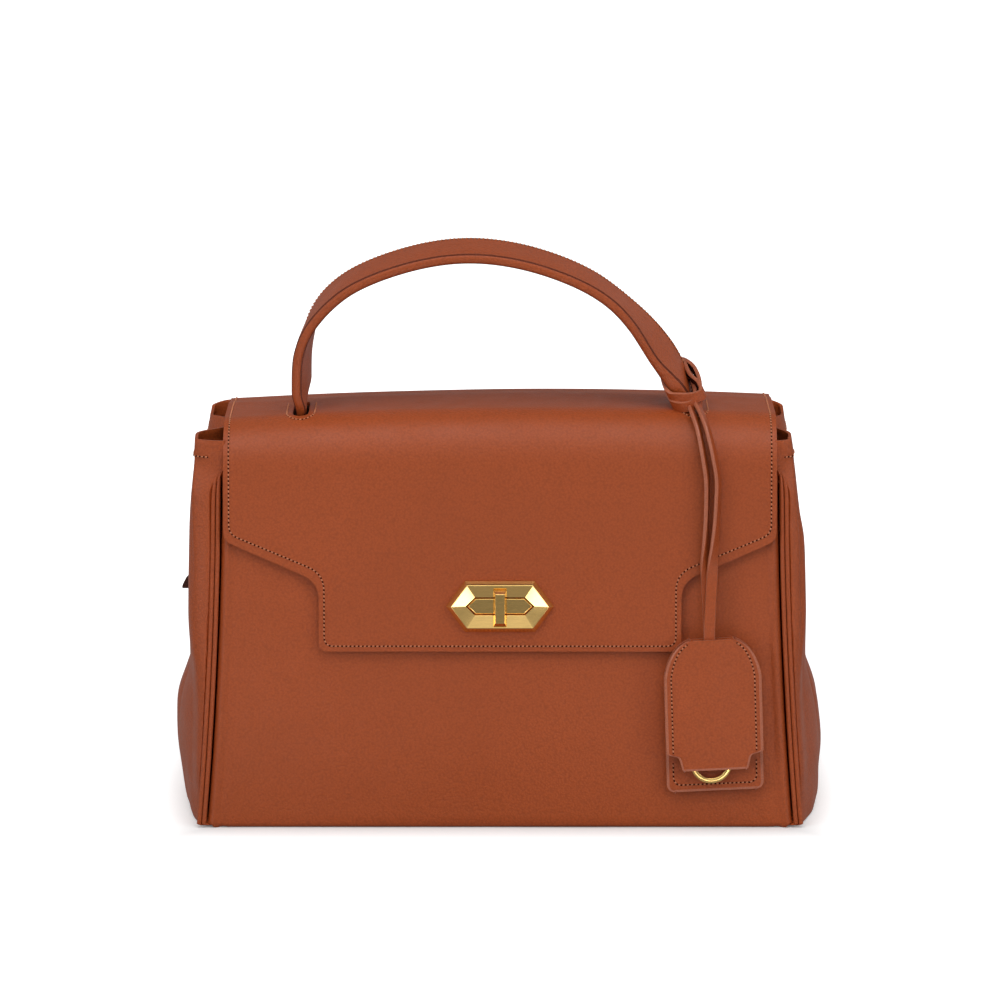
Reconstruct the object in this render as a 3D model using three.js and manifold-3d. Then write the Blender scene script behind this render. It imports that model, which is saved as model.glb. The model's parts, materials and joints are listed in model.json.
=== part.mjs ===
// A structured leather top-handle bag with a folding flap, a quarter-turn lock and a hanging key tag.
// Millimetres. +X is the viewer's right, -Y the front, +Z up. The origin is the middle of the base on the floor.
import * as THREE from 'three';
import { mergeVertices } from 'three/addons/utils/BufferGeometryUtils.js';
import Module from 'manifold-3d';

const wasm = await Module();
wasm.setup();

// Driving dimensions: general
const GAP = 0.3; // between pieces that touch
const FLOOR_GAP = 0.5; // lower edges of the walls above the floor
const CIRCLE_SIDES = 16;

// Driving dimensions: shell
const BASE_DEPTH = 140; // over the front and back panels at the floor
const TOP_DEPTH = 96; // over the panels at their top edges
const PANEL_HEIGHT = 188; // along the leaning panel
const PANEL_HALF_BASE = 152.5;
const PANEL_HALF_WAIST = 144.2; // pulls the side edges in between base and top
const PANEL_HALF_TOP = 143.8;
const LEATHER = 1.8;
const PIPING_DIAMETER = 5;
const BASE_LEATHER = 2.4;
const BASE_CORNER = 8;
const BOARD_THICKNESS = 2.4;
const LINING = 0.8;
const LINING_INSET = 7; // lining edge inside the panel edge

// Driving dimensions: bellows sides
const GUSSET_LEATHER = 1.6;
const FRONT_BULGE = { base: 7, middle: 8, top: 11 };
const REAR_BULGE = { base: 9, middle: 11, top: 10 };
const FOLD_BASE = -9; // the centre fold pushes out at the base
const FOLD_TOP = 6; // and in at the top
const FOLD_Y = -2;
const HEM_RISE = { edge: -3, front: 11, fold: 6, rear: 18 }; // hem above the panel's top edge
const SEAM_TAB = { width: 20, height: 7, thickness: 2.4, seat: 1.7, level: 116 }; // reaches out past the lobes

// Driving dimensions: flap
const FLAP_HALF = 143.2;
const FLAP_TOP = 211;
const FLAP_GAP = 0.6; // between the flap lining and the front panel
const FLAP_LINING = 1;
const FLAP_LEATHER = 1.8;
const FRONT_RADIUS = 24;
const REAR_RADIUS = 20;
const ROOT_LEVEL = 150; // lower edge of the flap's sewn tail on the back panel
const SHOULDER_LEVEL = 151; // outer corners of the flap along the front panel
const TONGUE_HALF = 94;
const TONGUE_SHOULDER_LEVEL = 129.4;
const TONGUE_LEVEL = 93.2; // lower edge of the flap
const FLAP_CORNER = 5;
const TONGUE_FILLET = 9;
const LINING_STEP = 1.5; // flap lining edge inside the leather edge

// Driving dimensions: handle
const HANDLE_HALF_WIDTH = 14;
const HANDLE_LAYER = 1.8;
const HANDLE_Y = -14;
const HANDLE_LEAN = THREE.MathUtils.degToRad(9.5);
const HANDLE_TILT = THREE.MathUtils.degToRad(15);
const HANDLE_PIVOT = 2; // pivot above the flap
const FOOT_DEPTH = 4; // handle ends below the flap's surface
const FOOT_ROOM = 0.9; // between the foot and its slot
const HANDLE_ROUTE = [
  [-103.7, -FOOT_DEPTH], [-103.6, 12], [-102.2, 35], [-96, 52], [-80, 69], [-50, 82.5], [-18, 88], [14, 84],
  [48, 70], [70, 51], [86, 29], [93, 16], [96.4, 8], [97, 2], [97, -FOOT_DEPTH],
];
const ANCHOR = { length: 30, width: 20, thickness: 1.6 }; // turned-under end, riveted below the flap

// Driving dimensions: quarter-turn lock
const LOCK_LEVEL = 117; // lock centre along the front panel
const FRAME_HALF = { width: 26.9, flat: 17.6, height: 12.7 };
const FRAME_RIM_HEIGHT = 4;
const FRAME_RIM_INSET = 2;
const SLOT_HALF = { width: 17.2, flat: 12.6, height: 4.5 };
const SLOT_EDGE_HEIGHT = 1.6;
const FACE_THICKNESS = 1.2;
const BAR = { length: 18.9, width: 6.9, height: 2.4, bevel: 1.6 };
const SPINDLE_RADIUS = 2.5;
const SPINDLE_CLEARANCE = 0.4;
const POST_RADIUS = 1.5;
const POST_SPACING = 42;
const TONGUE = { length: 18, width: 6, thickness: 3, clearance: 0.6 };
const STRIKE_THICKNESS = 1.2;
const STRIKE_MARGIN = 7;
const SLOT_MARGIN = 1.5;
const WINDOW_MARGIN = 3; // the leather's window round the strike's slot
const SLOT_RISE = 6.5; // the tongue climbs this much while the flap swings off
const RIVET = { radius: 1.4, head: 2.6, headThickness: 1.2 };

// Driving dimensions: key tag
const TAG_X = 109.5;
const TAG_HALF = 25.2;
const TAG_TOP_HALF = 11.5;
const TAG_TOP = 100.4;
const TAG_SHOULDER = 84;
const TAG_BOTTOM = 20.6;
const TAG_CORNER = 4;
const TAG_LEAF = 1.4;
const FRONT_LEAF_STEP = 41;
const FRONT_LEAF_BOTTOM = 32.3;
const FRONT_LEAF_HALF = 18.6;
const WELT_WIDTH = 3;
const RING_RADIUS = 9.5;
const RING_WIRE = 1.3;
const RING_LEVEL = 35.8;
const STRAP_HALF = 2.6;
const STRAP = 1;
const STRAP_SWING_LEVEL = 188; // the strap's bending line along the front
const STRAP_START_DROP = 4;
const STRAP_FOLD_ROOM = 2.6; // bare fold between the strap's halves, so that they clear as it opens
const HITCH = { level: 12, height: 6, band: 1.6, room: 0.8, slack: 0.6 };

// Driving dimensions: zipped divider
const DIVIDER_HALF = 138;
const DIVIDER_TOP = 176;
const DIVIDER_LEAF = 1.2;
const POCKET_WIDTH = 6;
const ZIP_TAPE = { width: 16, thickness: 1 };
const ZIP_TEETH = { half: 118, width: 5, height: 1.6 };
const ZIP_SLIDER = { length: 11, width: 8, height: 3 };
const ZIP_PULL = { length: 26, width: 7, thickness: 1.4 };
const ZIP_REST_X = 104;

// Values worked out from the driving dimensions
const LEAN = Math.asin((BASE_DEPTH - TOP_DEPTH) / 2 / PANEL_HEIGHT);
const FLAP_OUT = FLAP_GAP + FLAP_LINING + GAP + FLAP_LEATHER;
const ARC_ANGLE = Math.PI / 2 - LEAN;
const BASE_STACK = BASE_LEATHER + GAP + BOARD_THICKNESS + GAP + LINING;
const HANDLE_HALF_THICK = HANDLE_LAYER * 1.5 + GAP;
const LOCK_SEAT = FLAP_OUT + GAP;
const FUNNEL_SLOPE = (FRAME_RIM_HEIGHT - SLOT_EDGE_HEIGHT)
  / (FRAME_HALF.height - FRAME_RIM_INSET - SLOT_HALF.height);
const BAR_SEAT = LOCK_SEAT + SLOT_EDGE_HEIGHT + (BAR.length / 2 - SLOT_HALF.height) * FUNNEL_SLOPE + GAP;
const STRIKE_BACK = LEATHER + GAP + STRIKE_THICKNESS;
const TONGUE_FACE = STRIKE_BACK + TONGUE.clearance;
const TAG_SEAT = FLAP_OUT + GAP;
const RING_PLANE = TAG_SEAT + TAG_LEAF + GAP + STRAP + GAP + RING_WIRE;
const FRONT_LEAF_SEAT = 2 * RING_PLANE - TAG_SEAT - TAG_LEAF;

const COLOURS = {
  leather: { color: 0x9b4d2f, roughness: 0.45, metalness: 0 },
  edge: { color: 0x5a2a1b, roughness: 0.6, metalness: 0 },
  lining: { color: 0x6b4636, roughness: 0.9, metalness: 0 },
  board: { color: 0x4a3a30, roughness: 0.9, metalness: 0 },
  brass: { color: 0xc9a24a, roughness: 0.25, metalness: 1 },
};

const bag = new THREE.Group();
const frontFace = new THREE.Group();
frontFace.position.y = -BASE_DEPTH / 2;
frontFace.rotation.x = -LEAN;
const backTurn = new THREE.Group();
backTurn.rotation.z = Math.PI;
const backFace = frontFace.clone();
backTurn.add(backFace);
const handleFrame = new THREE.Group();
handleFrame.position.set(0, HANDLE_Y, FLAP_TOP);
handleFrame.rotation.x = HANDLE_LEAN;
bag.add(frontFace, backTurn, handleFrame);

// Adds one named piece to a group.
function addPiece(group, name, finish, geometry) {
  const mesh = new THREE.Mesh(geometry, new THREE.MeshStandardMaterial(COLOURS[finish]));
  mesh.name = name;
  group.add(mesh);
  return mesh;
}

// Turns all faces outwards where a lofted shape was listed the other way round.
function faceOutwards(positions, indices) {
  let volume = 0;
  for (let i = 0; i < indices.length; i += 3) {
    const [a, b, c] = [0, 1, 2].map((k) => positions[indices[i + k]]);
    volume += a.dot(b.clone().cross(c));
  }
  if (volume < 0) indices.reverse();
  const geometry = new THREE.BufferGeometry().setFromPoints(positions);
  geometry.setIndex(indices);
  geometry.computeVertexNormals();
  return geometry;
}

// Joins loops of equally many points. A ring joins its last loop to its first, other lofts are capped.
function loft(loops, ring = false) {
  const count = loops[0].length;
  const indices = [];
  const joined = ring ? loops.length : loops.length - 1;
  for (let row = 0; row < joined; row += 1) {
    const here = row * count;
    const next = ((row + 1) % loops.length) * count;
    for (let k = 0; k < count; k += 1) {
      const side = (k + 1) % count;
      indices.push(here + k, here + side, next + side, here + k, next + side, next + k);
    }
  }
  if (!ring) {
    const last = (loops.length - 1) * count;
    for (let k = 0; k < count / 2 - 1; k += 1) {
      const far = count - 1 - k;
      indices.push(k, far, far - 1, k, far - 1, k + 1);
      indices.push(last + k, last + far - 1, last + far, last + k, last + k + 1, last + far - 1);
    }
  }
  return faceOutwards(loops.flat(), indices);
}

// A flat strip that follows a profile in the YZ plane. Each station is a point, a normal and a half width.
function ribbon(stations, inner, outer, middleX = 0) {
  const corner = (station, side, offset) => new THREE.Vector3(
    middleX + side * station.half,
    station.y + station.ny * offset,
    station.z + station.nz * offset,
  );
  return loft(stations.map((station) => [
    corner(station, -1, inner), corner(station, 1, inner), corner(station, 1, outer), corner(station, -1, outer),
  ]));
}

// A plate on a leaning face: its outline is drawn in X and height, its thickness runs outwards.
function plate(shape, inner, outer) {
  const geometry = new THREE.ExtrudeGeometry(shape, { depth: outer - inner, bevelEnabled: false, curveSegments: 6 });
  return geometry.rotateX(Math.PI / 2).translate(0, -inner, 0);
}

// A round bar along the outward direction of a leaning face.
function post(radius, inner, outer, x, level) {
  const geometry = new THREE.CylinderGeometry(radius, radius, outer - inner, CIRCLE_SIDES);
  return geometry.translate(x, -(inner + outer) / 2, level);
}

function block(width, depth, height) {
  return new THREE.BoxGeometry(width, depth, height);
}

function toSolid(geometry) {
  const bare = geometry.clone();
  bare.deleteAttribute('normal');
  bare.deleteAttribute('uv');
  const merged = mergeVertices(bare, 1e-4);
  return new wasm.Manifold(new wasm.Mesh({
    numProp: 3,
    vertProperties: new Float32Array(merged.attributes.position.array),
    triVerts: new Uint32Array(merged.index.array),
  }));
}

// Cuts every tool out of a shape.
function cut(geometry, tools) {
  const mesh = tools.reduce((rest, tool) => rest.subtract(toSolid(tool)), toSolid(geometry)).getMesh();
  const result = new THREE.BufferGeometry();
  result.setAttribute('position', new THREE.BufferAttribute(new Float32Array(mesh.vertProperties), 3));
  result.setIndex(new THREE.BufferAttribute(new Uint32Array(mesh.triVerts), 1));
  result.computeVertexNormals();
  return result;
}

function roundedRectangle(width, height, radius, x = 0, y = 0, kind = THREE.Shape) {
  const [left, right, low, high] = [x - width / 2, x + width / 2, y - height / 2, y + height / 2];
  const outline = new kind();
  outline.moveTo(left + radius, low);
  outline.lineTo(right - radius, low);
  outline.absarc(right - radius, low + radius, radius, -Math.PI / 2, 0);
  outline.lineTo(right, high - radius);
  outline.absarc(right - radius, high - radius, radius, 0, Math.PI / 2);
  outline.lineTo(left + radius, high);
  outline.absarc(left + radius, high - radius, radius, Math.PI / 2, Math.PI);
  outline.lineTo(left, low + radius);
  outline.absarc(left + radius, low + radius, radius, Math.PI, Math.PI * 1.5);
  return outline;
}

function circle(radius, x, y) {
  return new THREE.Path().absarc(x, y, radius, 0, Math.PI * 2);
}

// Half width of the front and back panels at a level along the panel.
const sideCurve = new THREE.QuadraticBezierCurve(
  new THREE.Vector2(PANEL_HALF_BASE, 0),
  new THREE.Vector2(PANEL_HALF_WAIST, PANEL_HEIGHT / 2),
  new THREE.Vector2(PANEL_HALF_TOP, PANEL_HEIGHT),
);
const panelHalfAt = (level) => sideCurve.getPoint(level / PANEL_HEIGHT).x;

function panelShape(inset, low, high) {
  const rows = 8;
  const right = [];
  for (let row = 0; row <= rows; row += 1) {
    const level = low + ((high - low) * row) / rows;
    right.push(new THREE.Vector2(panelHalfAt(level) - inset, level));
  }
  const left = right.map((point) => new THREE.Vector2(-point.x, point.y)).reverse();
  return new THREE.Shape([...right, ...left]);
}

// The upright slot that the lock's tongue passes through, larger by a margin.
const slotHeight = TONGUE.length + 2 * SLOT_MARGIN + SLOT_RISE;
const slotWidth = TONGUE.width + 2 * SLOT_MARGIN;
const slotLevel = LOCK_LEVEL + SLOT_RISE / 2;
const rivetRise = slotHeight / 2 + WINDOW_MARGIN + RIVET.head + GAP;
const strikeWidth = slotWidth + 2 * STRIKE_MARGIN;
const strikeHeight = 2 * (rivetRise + RIVET.head);
const slotPath = (margin = 0) => roundedRectangle(
  slotWidth + 2 * margin, slotHeight + 2 * margin, SLOT_MARGIN, 0, slotLevel, THREE.Path,
);
const rivetHoles = () => [-1, 1].map((side) => circle(RIVET.radius + GAP, 0, slotLevel + side * rivetRise));

function makeShell() {
  const front = panelShape(0, FLOOR_GAP, PANEL_HEIGHT);
  front.holes.push(slotPath(WINDOW_MARGIN), ...rivetHoles());
  addPiece(frontFace, 'front_panel', 'leather', plate(front, -LEATHER, 0));
  addPiece(backFace, 'back_panel', 'leather', plate(panelShape(0, FLOOR_GAP, PANEL_HEIGHT), -LEATHER, 0));

  const liningLow = BASE_STACK + GAP + LINING;
  const liningHigh = PANEL_HEIGHT - LINING_INSET;
  const frontLining = panelShape(LINING_INSET, liningLow, liningHigh);
  frontLining.holes.push(roundedRectangle(
    strikeWidth + 2 * GAP, strikeHeight + 2 * GAP, SLOT_MARGIN, 0, slotLevel, THREE.Path,
  ));
  const liningFrom = -(LEATHER + GAP + LINING);
  const liningTo = -(LEATHER + GAP);
  addPiece(frontFace, 'lining_front', 'lining', plate(frontLining, liningFrom, liningTo));
  const backLining = panelShape(LINING_INSET, liningLow, liningHigh);
  addPiece(backFace, 'lining_back', 'lining', plate(backLining, liningFrom, liningTo));

  const halfDepth = BASE_DEPTH / 2 - LEATHER - 2 * GAP;
  const layers = [
    ['base_panel', 'leather', BASE_LEATHER, 0],
    ['base_board', 'board', BOARD_THICKNESS, BASE_LEATHER + GAP],
    ['lining_base', 'lining', LINING, BASE_LEATHER + GAP + BOARD_THICKNESS + GAP],
  ];
  layers.forEach(([name, finish, thickness, level], step) => {
    const shape = roundedRectangle(
      2 * (PANEL_HALF_BASE - GAP - step), 2 * (halfDepth - step), BASE_CORNER,
    );
    const geometry = new THREE.ExtrudeGeometry(shape, { depth: thickness, bevelEnabled: false, curveSegments: 5 });
    addPiece(bag, name, finish, geometry).position.z = level;
  });
}

// Piping runs up each side seam, just outside the panel's edge.
const pipingOffset = GAP + PIPING_DIAMETER / 2;
function makePiping() {
  const rows = 10;
  const low = FLOOR_GAP + PIPING_DIAMETER / 2;
  const high = PANEL_HEIGHT - FLOOR_GAP;
  const sides = 8;
  for (const [face, place] of [[frontFace, 'front'], [backFace, 'back']]) {
    for (const side of [-1, 1]) {
      const loops = [];
      for (let row = 0; row <= rows; row += 1) {
        const level = low + ((high - low) * row) / rows;
        const middle = side * (panelHalfAt(level) + pipingOffset);
        const loop = [];
        for (let k = 0; k < sides; k += 1) {
          const angle = ((k + 0.5) / sides) * Math.PI * 2;
          const reach = PIPING_DIAMETER / 2;
          loop.push(new THREE.Vector3(
            middle + reach * Math.cos(angle), LEATHER / 2 + reach * Math.sin(angle), level,
          ));
        }
        loops.push(loop);
      }
      const isRight = (side > 0) === (face === frontFace);
      addPiece(face, `piping_${place}_${isRight ? 'right' : 'left'}`, 'leather', loft(loops));
    }
  }
}

// Plan of the bellows side at a share of its height, from the front seam to the back seam.
function gussetPlan(share) {
  const level = THREE.MathUtils.lerp(0, PANEL_HEIGHT, share);
  const seamX = panelHalfAt(level) + pipingOffset;
  const seamY = BASE_DEPTH / 2 - level * Math.sin(LEAN)
    - (LEATHER / 2 + PIPING_DIAMETER / 2 + GAP + GUSSET_LEATHER / 2);
  const swell = (bulge) => THREE.MathUtils.lerp(bulge.base, bulge.top, share)
    + bulge.middle * Math.sin(Math.PI * share);
  const fold = THREE.MathUtils.lerp(FOLD_BASE, FOLD_TOP, share);
  return new THREE.CatmullRomCurve3([
    new THREE.Vector3(seamX, -seamY, 0),
    new THREE.Vector3(seamX + swell(FRONT_BULGE), -seamY * 0.56, 0),
    new THREE.Vector3(seamX - fold, FOLD_Y, 0),
    new THREE.Vector3(seamX + swell(REAR_BULGE), seamY * 0.5, 0),
    new THREE.Vector3(seamX, seamY, 0),
  ]);
}

const hemCurve = new THREE.CatmullRomCurve3([
  new THREE.Vector3(0, 0, HEM_RISE.edge), new THREE.Vector3(0.25, 0, HEM_RISE.front),
  new THREE.Vector3(0.5, 0, HEM_RISE.fold), new THREE.Vector3(0.75, 0, HEM_RISE.rear),
  new THREE.Vector3(1, 0, HEM_RISE.edge),
]);

function makeGussets() {
  const rows = 8;
  const columns = 16;
  const low = FLOOR_GAP + GAP;
  const panelTop = PANEL_HEIGHT * Math.cos(LEAN);
  for (const [side, name] of [[-1, 'gusset_left'], [1, 'gusset_right']]) {
    const loops = [];
    for (let row = 0; row <= rows; row += 1) {
      const share = row / rows;
      const plan = gussetPlan(share);
      const outerLine = [];
      const innerLine = [];
      for (let column = 0; column <= columns; column += 1) {
        const along = column / columns;
        const point = plan.getPoint(along);
        const tangent = plan.getTangent(along);
        const height = THREE.MathUtils.lerp(low, panelTop + hemCurve.getPoint(along).z, share);
        const place = (offset) => new THREE.Vector3(
          side * (point.x + tangent.y * offset), point.y - tangent.x * offset, height,
        );
        outerLine.push(place(GUSSET_LEATHER / 2));
        innerLine.push(place(-GUSSET_LEATHER / 2));
      }
      loops.push([...outerLine, ...innerLine.reverse()]);
    }
    addPiece(bag, name, 'leather', loft(loops));
  }
  const tabShare = SEAM_TAB.level / panelTop;
  const foldPoint = gussetPlan(tabShare).getPoint(0.5);
  const tab = addPiece(bag, 'seam_tab', 'edge', block(SEAM_TAB.width, SEAM_TAB.thickness, SEAM_TAB.height));
  const tabX = foldPoint.x + GUSSET_LEATHER / 2 + SEAM_TAB.seat + SEAM_TAB.width / 2;
  tab.position.set(-tabX, foldPoint.y, SEAM_TAB.level);
}

// Right half of the flap's outline on the front face, as half width against level, from the top down.
function flapOutline(inset) {
  const slope = (SHOULDER_LEVEL - TONGUE_SHOULDER_LEVEL) / (FLAP_HALF - TONGUE_HALF);
  const near = (length) => length / Math.hypot(1, slope);
  const [outer, tongue, bottom] = [FLAP_HALF - inset, TONGUE_HALF - inset, TONGUE_LEVEL + inset];
  const [shoulder, waist] = [SHOULDER_LEVEL + inset, TONGUE_SHOULDER_LEVEL + inset];
  const path = new THREE.Path();
  path.moveTo(outer, shoulder + FLAP_CORNER);
  path.quadraticCurveTo(outer, shoulder, outer - near(FLAP_CORNER), shoulder - near(FLAP_CORNER) * slope);
  path.lineTo(tongue + near(TONGUE_FILLET), waist + near(TONGUE_FILLET) * slope);
  path.quadraticCurveTo(tongue, waist, tongue, waist - TONGUE_FILLET);
  path.lineTo(tongue, bottom + FLAP_CORNER);
  path.quadraticCurveTo(tongue, bottom, tongue - FLAP_CORNER, bottom);
  return path.getPoints(5);
}

// Centre of the flap's bend over the top edge of a leaning face, as level and depth behind the face.
const foldCentre = (radius) => ({
  level: (FLAP_TOP - radius - (FLAP_OUT - radius) * Math.sin(LEAN)) / Math.cos(LEAN),
  inside: radius - FLAP_OUT,
});

// Stations round the lower half of the bend, in the face's own frame, from the split line downwards.
function lowerBend(radius, half, room = 0) {
  const centre = foldCentre(radius);
  const steps = 5;
  const start = ARC_ANGLE / 2 - (GAP + room) / radius;
  const stations = [];
  for (let step = 0; step <= steps; step += 1) {
    const angle = start * (1 - step / steps);
    const [ny, nz] = [-Math.cos(angle), Math.sin(angle)];
    stations.push({ y: centre.inside + radius * ny, z: centre.level + radius * nz, ny, nz, half });
  }
  return stations;
}

// Stations round the upper half of the bend in the bag's frame, from the split line upwards.
function upperBend(radius, half, side, room = 0) {
  const centre = foldCentre(radius);
  const reach = BASE_DEPTH / 2 - centre.level * Math.sin(LEAN) - centre.inside * Math.cos(LEAN);
  const steps = 5;
  const start = LEAN + ARC_ANGLE / 2 + room / radius;
  const stations = [];
  for (let step = 0; step <= steps; step += 1) {
    const angle = THREE.MathUtils.lerp(start, Math.PI / 2, step / steps);
    const [ny, nz] = [side * Math.cos(angle), Math.sin(angle)];
    stations.push({ y: side * reach + radius * ny, z: FLAP_TOP - radius + radius * nz, ny, nz, half });
  }
  return stations;
}

const onFace = (level, half) => ({ y: -FLAP_OUT, z: level, ny: -1, nz: 0, half });
const slotHalfX = HANDLE_HALF_THICK + FOOT_ROOM;
const slotHalfY = HANDLE_HALF_WIDTH / Math.cos(HANDLE_LEAN + HANDLE_TILT) + FOOT_ROOM;
const footXs = [HANDLE_ROUTE[0][0], HANDLE_ROUTE[HANDLE_ROUTE.length - 1][0]];

function makeFlap() {
  const layers = [
    ['leather', 'leather', 0, -FLAP_LEATHER, 0],
    ['lining', 'lining', LINING_STEP, -(FLAP_OUT - FLAP_GAP), -(FLAP_LEATHER + GAP)],
  ];
  for (const [layer, finish, inset, inner, outer] of layers) {
    const half = FLAP_HALF - inset;
    const frontRows = flapOutline(inset).map((point) => onFace(point.y, point.x));
    const front = ribbon([...lowerBend(FRONT_RADIUS, half), ...frontRows], inner, outer);
    const reach = FLAP_OUT + GAP;
    const holes = [post(SPINDLE_RADIUS + SPINDLE_CLEARANCE, -GAP, reach, 0, LOCK_LEVEL)];
    for (const side of [-1, 1]) {
      holes.push(post(POST_RADIUS + GAP, -GAP, reach, (side * POST_SPACING) / 2, LOCK_LEVEL));
    }
    addPiece(frontFace, `flap_front_${layer}`, finish, cut(front, holes));

    const over = [...upperBend(REAR_RADIUS, half, 1), ...upperBend(FRONT_RADIUS, half, -1).reverse()];
    const slots = footXs.map((x) => block(2 * slotHalfX, 2 * slotHalfY, 4 * FLAP_OUT)
      .translate(x, HANDLE_Y, FLAP_TOP));
    addPiece(bag, `flap_top_${layer}`, finish, cut(ribbon(over, inner, outer), slots));
  }
  const root = [...lowerBend(REAR_RADIUS, FLAP_HALF), onFace(ROOT_LEVEL, FLAP_HALF)];
  addPiece(backFace, 'flap_root', 'leather', ribbon(root, -(FLAP_OUT - FLAP_GAP), 0));
}

// The handle's middle line and its direction, in the handle's leaning frame.
function handleStations(steps) {
  const route = new THREE.CatmullRomCurve3(HANDLE_ROUTE.map(([x, z]) => new THREE.Vector3(x, 0, z)));
  const stations = [];
  for (let step = 0; step <= steps; step += 1) {
    const point = route.getPointAt(step / steps);
    const tangent = route.getTangentAt(step / steps);
    stations.push({ y: -point.x, z: point.z, ny: tangent.z, nz: tangent.x, half: HANDLE_HALF_WIDTH });
  }
  return stations;
}

function makeHandle() {
  const stations = handleStations(36);
  const half = HANDLE_LAYER / 2;
  const layers = [
    ['handle_inner', 'leather', -HANDLE_HALF_THICK, -(half + GAP)],
    ['handle_core', 'board', -half, half],
    ['handle_outer', 'leather', half + GAP, HANDLE_HALF_THICK],
  ];
  for (const [name, finish, inner, outer] of layers) {
    addPiece(handleFrame, name, finish, ribbon(stations, inner, outer).rotateZ(Math.PI / 2));
  }
  const under = FLAP_TOP - FLAP_LEATHER - GAP - FLAP_LINING - GAP;
  for (const [index, place, inwards] of [[0, 'left', 1], [1, 'right', -1]]) {
    const x = footXs[index] + inwards * (slotHalfX + GAP + ANCHOR.length / 2);
    const anchor = addPiece(
      bag, `handle_anchor_${place}`, 'leather', block(ANCHOR.length, ANCHOR.width, ANCHOR.thickness),
    );
    anchor.position.set(x, HANDLE_Y, under - ANCHOR.thickness / 2);
    const rivet = addPiece(
      bag, `anchor_rivet_${place}`, 'brass',
      new THREE.CylinderGeometry(RIVET.head, RIVET.head, RIVET.headThickness, CIRCLE_SIDES).rotateX(Math.PI / 2),
    );
    rivet.position.set(x, HANDLE_Y, under - ANCHOR.thickness - GAP - RIVET.headThickness / 2);
  }
}

function hexagon(half, height) {
  const corners = [
    [half.width, 0], [half.flat, half.height], [-half.flat, half.height],
    [-half.width, 0], [-half.flat, -half.height], [half.flat, -half.height],
  ];
  return corners.map(([x, z]) => new THREE.Vector3(x, -height, LOCK_LEVEL + z));
}

function insetHexagon(half, inset) {
  const tip = inset * (half.width / half.height);
  return { width: half.width - tip, flat: half.flat - tip / 2, height: half.height - inset };
}

function makeLock() {
  const ridge = insetHexagon(FRAME_HALF, FRAME_RIM_INSET);
  addPiece(frontFace, 'lock_frame', 'brass', loft([
    hexagon(FRAME_HALF, LOCK_SEAT),
    hexagon(ridge, LOCK_SEAT + FRAME_RIM_HEIGHT),
    hexagon(SLOT_HALF, LOCK_SEAT + SLOT_EDGE_HEIGHT),
    hexagon(SLOT_HALF, LOCK_SEAT),
  ], true));

  const faceHalf = insetHexagon(SLOT_HALF, GAP);
  const face = loft([hexagon(faceHalf, LOCK_SEAT), hexagon(faceHalf, LOCK_SEAT + FACE_THICKNESS)]);
  const bore = post(SPINDLE_RADIUS + SPINDLE_CLEARANCE, FLAP_OUT, LOCK_SEAT + 2 * FACE_THICKNESS, 0, LOCK_LEVEL);
  addPiece(frontFace, 'lock_face', 'brass', cut(face, [bore]));

  const barLoop = (inset, height) => [[1, 1], [-1, 1], [-1, -1], [1, -1]].map(([sx, sz]) => new THREE.Vector3(
    sx * (BAR.width / 2 - inset * 0.6), -height, LOCK_LEVEL + sz * (BAR.length / 2 - inset),
  ));
  addPiece(frontFace, 'turn_bar', 'brass', loft([
    barLoop(0, BAR_SEAT), barLoop(0, BAR_SEAT + BAR.height - BAR.bevel), barLoop(BAR.bevel, BAR_SEAT + BAR.height),
  ]));
  addPiece(frontFace, 'turn_spindle', 'brass', post(SPINDLE_RADIUS, GAP - TONGUE_FACE, BAR_SEAT - GAP, 0, LOCK_LEVEL));

  const tongue = roundedRectangle(TONGUE.width, TONGUE.length, SLOT_MARGIN, 0, LOCK_LEVEL);
  const tongueBack = TONGUE_FACE + TONGUE.thickness;
  addPiece(frontFace, 'lock_tongue', 'brass', plate(tongue, -tongueBack, -TONGUE_FACE));
  const screwBack = tongueBack + GAP + RIVET.headThickness;
  addPiece(frontFace, 'tongue_screw', 'brass', post(RIVET.head, -screwBack, -tongueBack - GAP, 0, LOCK_LEVEL));

  const strike = roundedRectangle(strikeWidth, strikeHeight, SLOT_MARGIN, 0, slotLevel);
  strike.holes.push(slotPath(), ...rivetHoles());
  addPiece(frontFace, 'strike_plate', 'brass', plate(strike, -STRIKE_BACK, -(LEATHER + GAP)));

  for (const [side, place] of [[-1, 'low'], [1, 'high']]) {
    const head = STRIKE_BACK + GAP;
    const profile = [
      [0, 0], [RIVET.radius, 0], [RIVET.radius, -head], [RIVET.head, -head],
      [RIVET.head, -(head + RIVET.headThickness)], [0, -(head + RIVET.headThickness)],
    ];
    const rivet = new THREE.LatheGeometry(profile.map(([r, y]) => new THREE.Vector2(r, y)).reverse(), CIRCLE_SIDES);
    addPiece(frontFace, `strike_rivet_${place}`, 'brass', rivet.rotateX(Math.PI).translate(
      0, 0, slotLevel + side * rivetRise,
    ));
  }
  for (const [side, place] of [[-1, 'left'], [1, 'right']]) {
    addPiece(frontFace, `frame_post_${place}`, 'brass', post(
      POST_RADIUS, FLAP_GAP, LOCK_SEAT - GAP, (side * POST_SPACING) / 2, LOCK_LEVEL,
    ));
  }
}

// Outline of the key tag's leaf: rounded shoulders that rise to a narrow top.
function leafTop(shape) {
  shape.lineTo(TAG_X + TAG_HALF, TAG_SHOULDER);
  shape.quadraticCurveTo(TAG_X + TAG_HALF, TAG_TOP - TAG_CORNER, TAG_X + TAG_TOP_HALF, TAG_TOP);
  shape.lineTo(TAG_X - TAG_TOP_HALF, TAG_TOP);
  shape.quadraticCurveTo(TAG_X - TAG_HALF, TAG_TOP - TAG_CORNER, TAG_X - TAG_HALF, TAG_SHOULDER);
}

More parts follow.
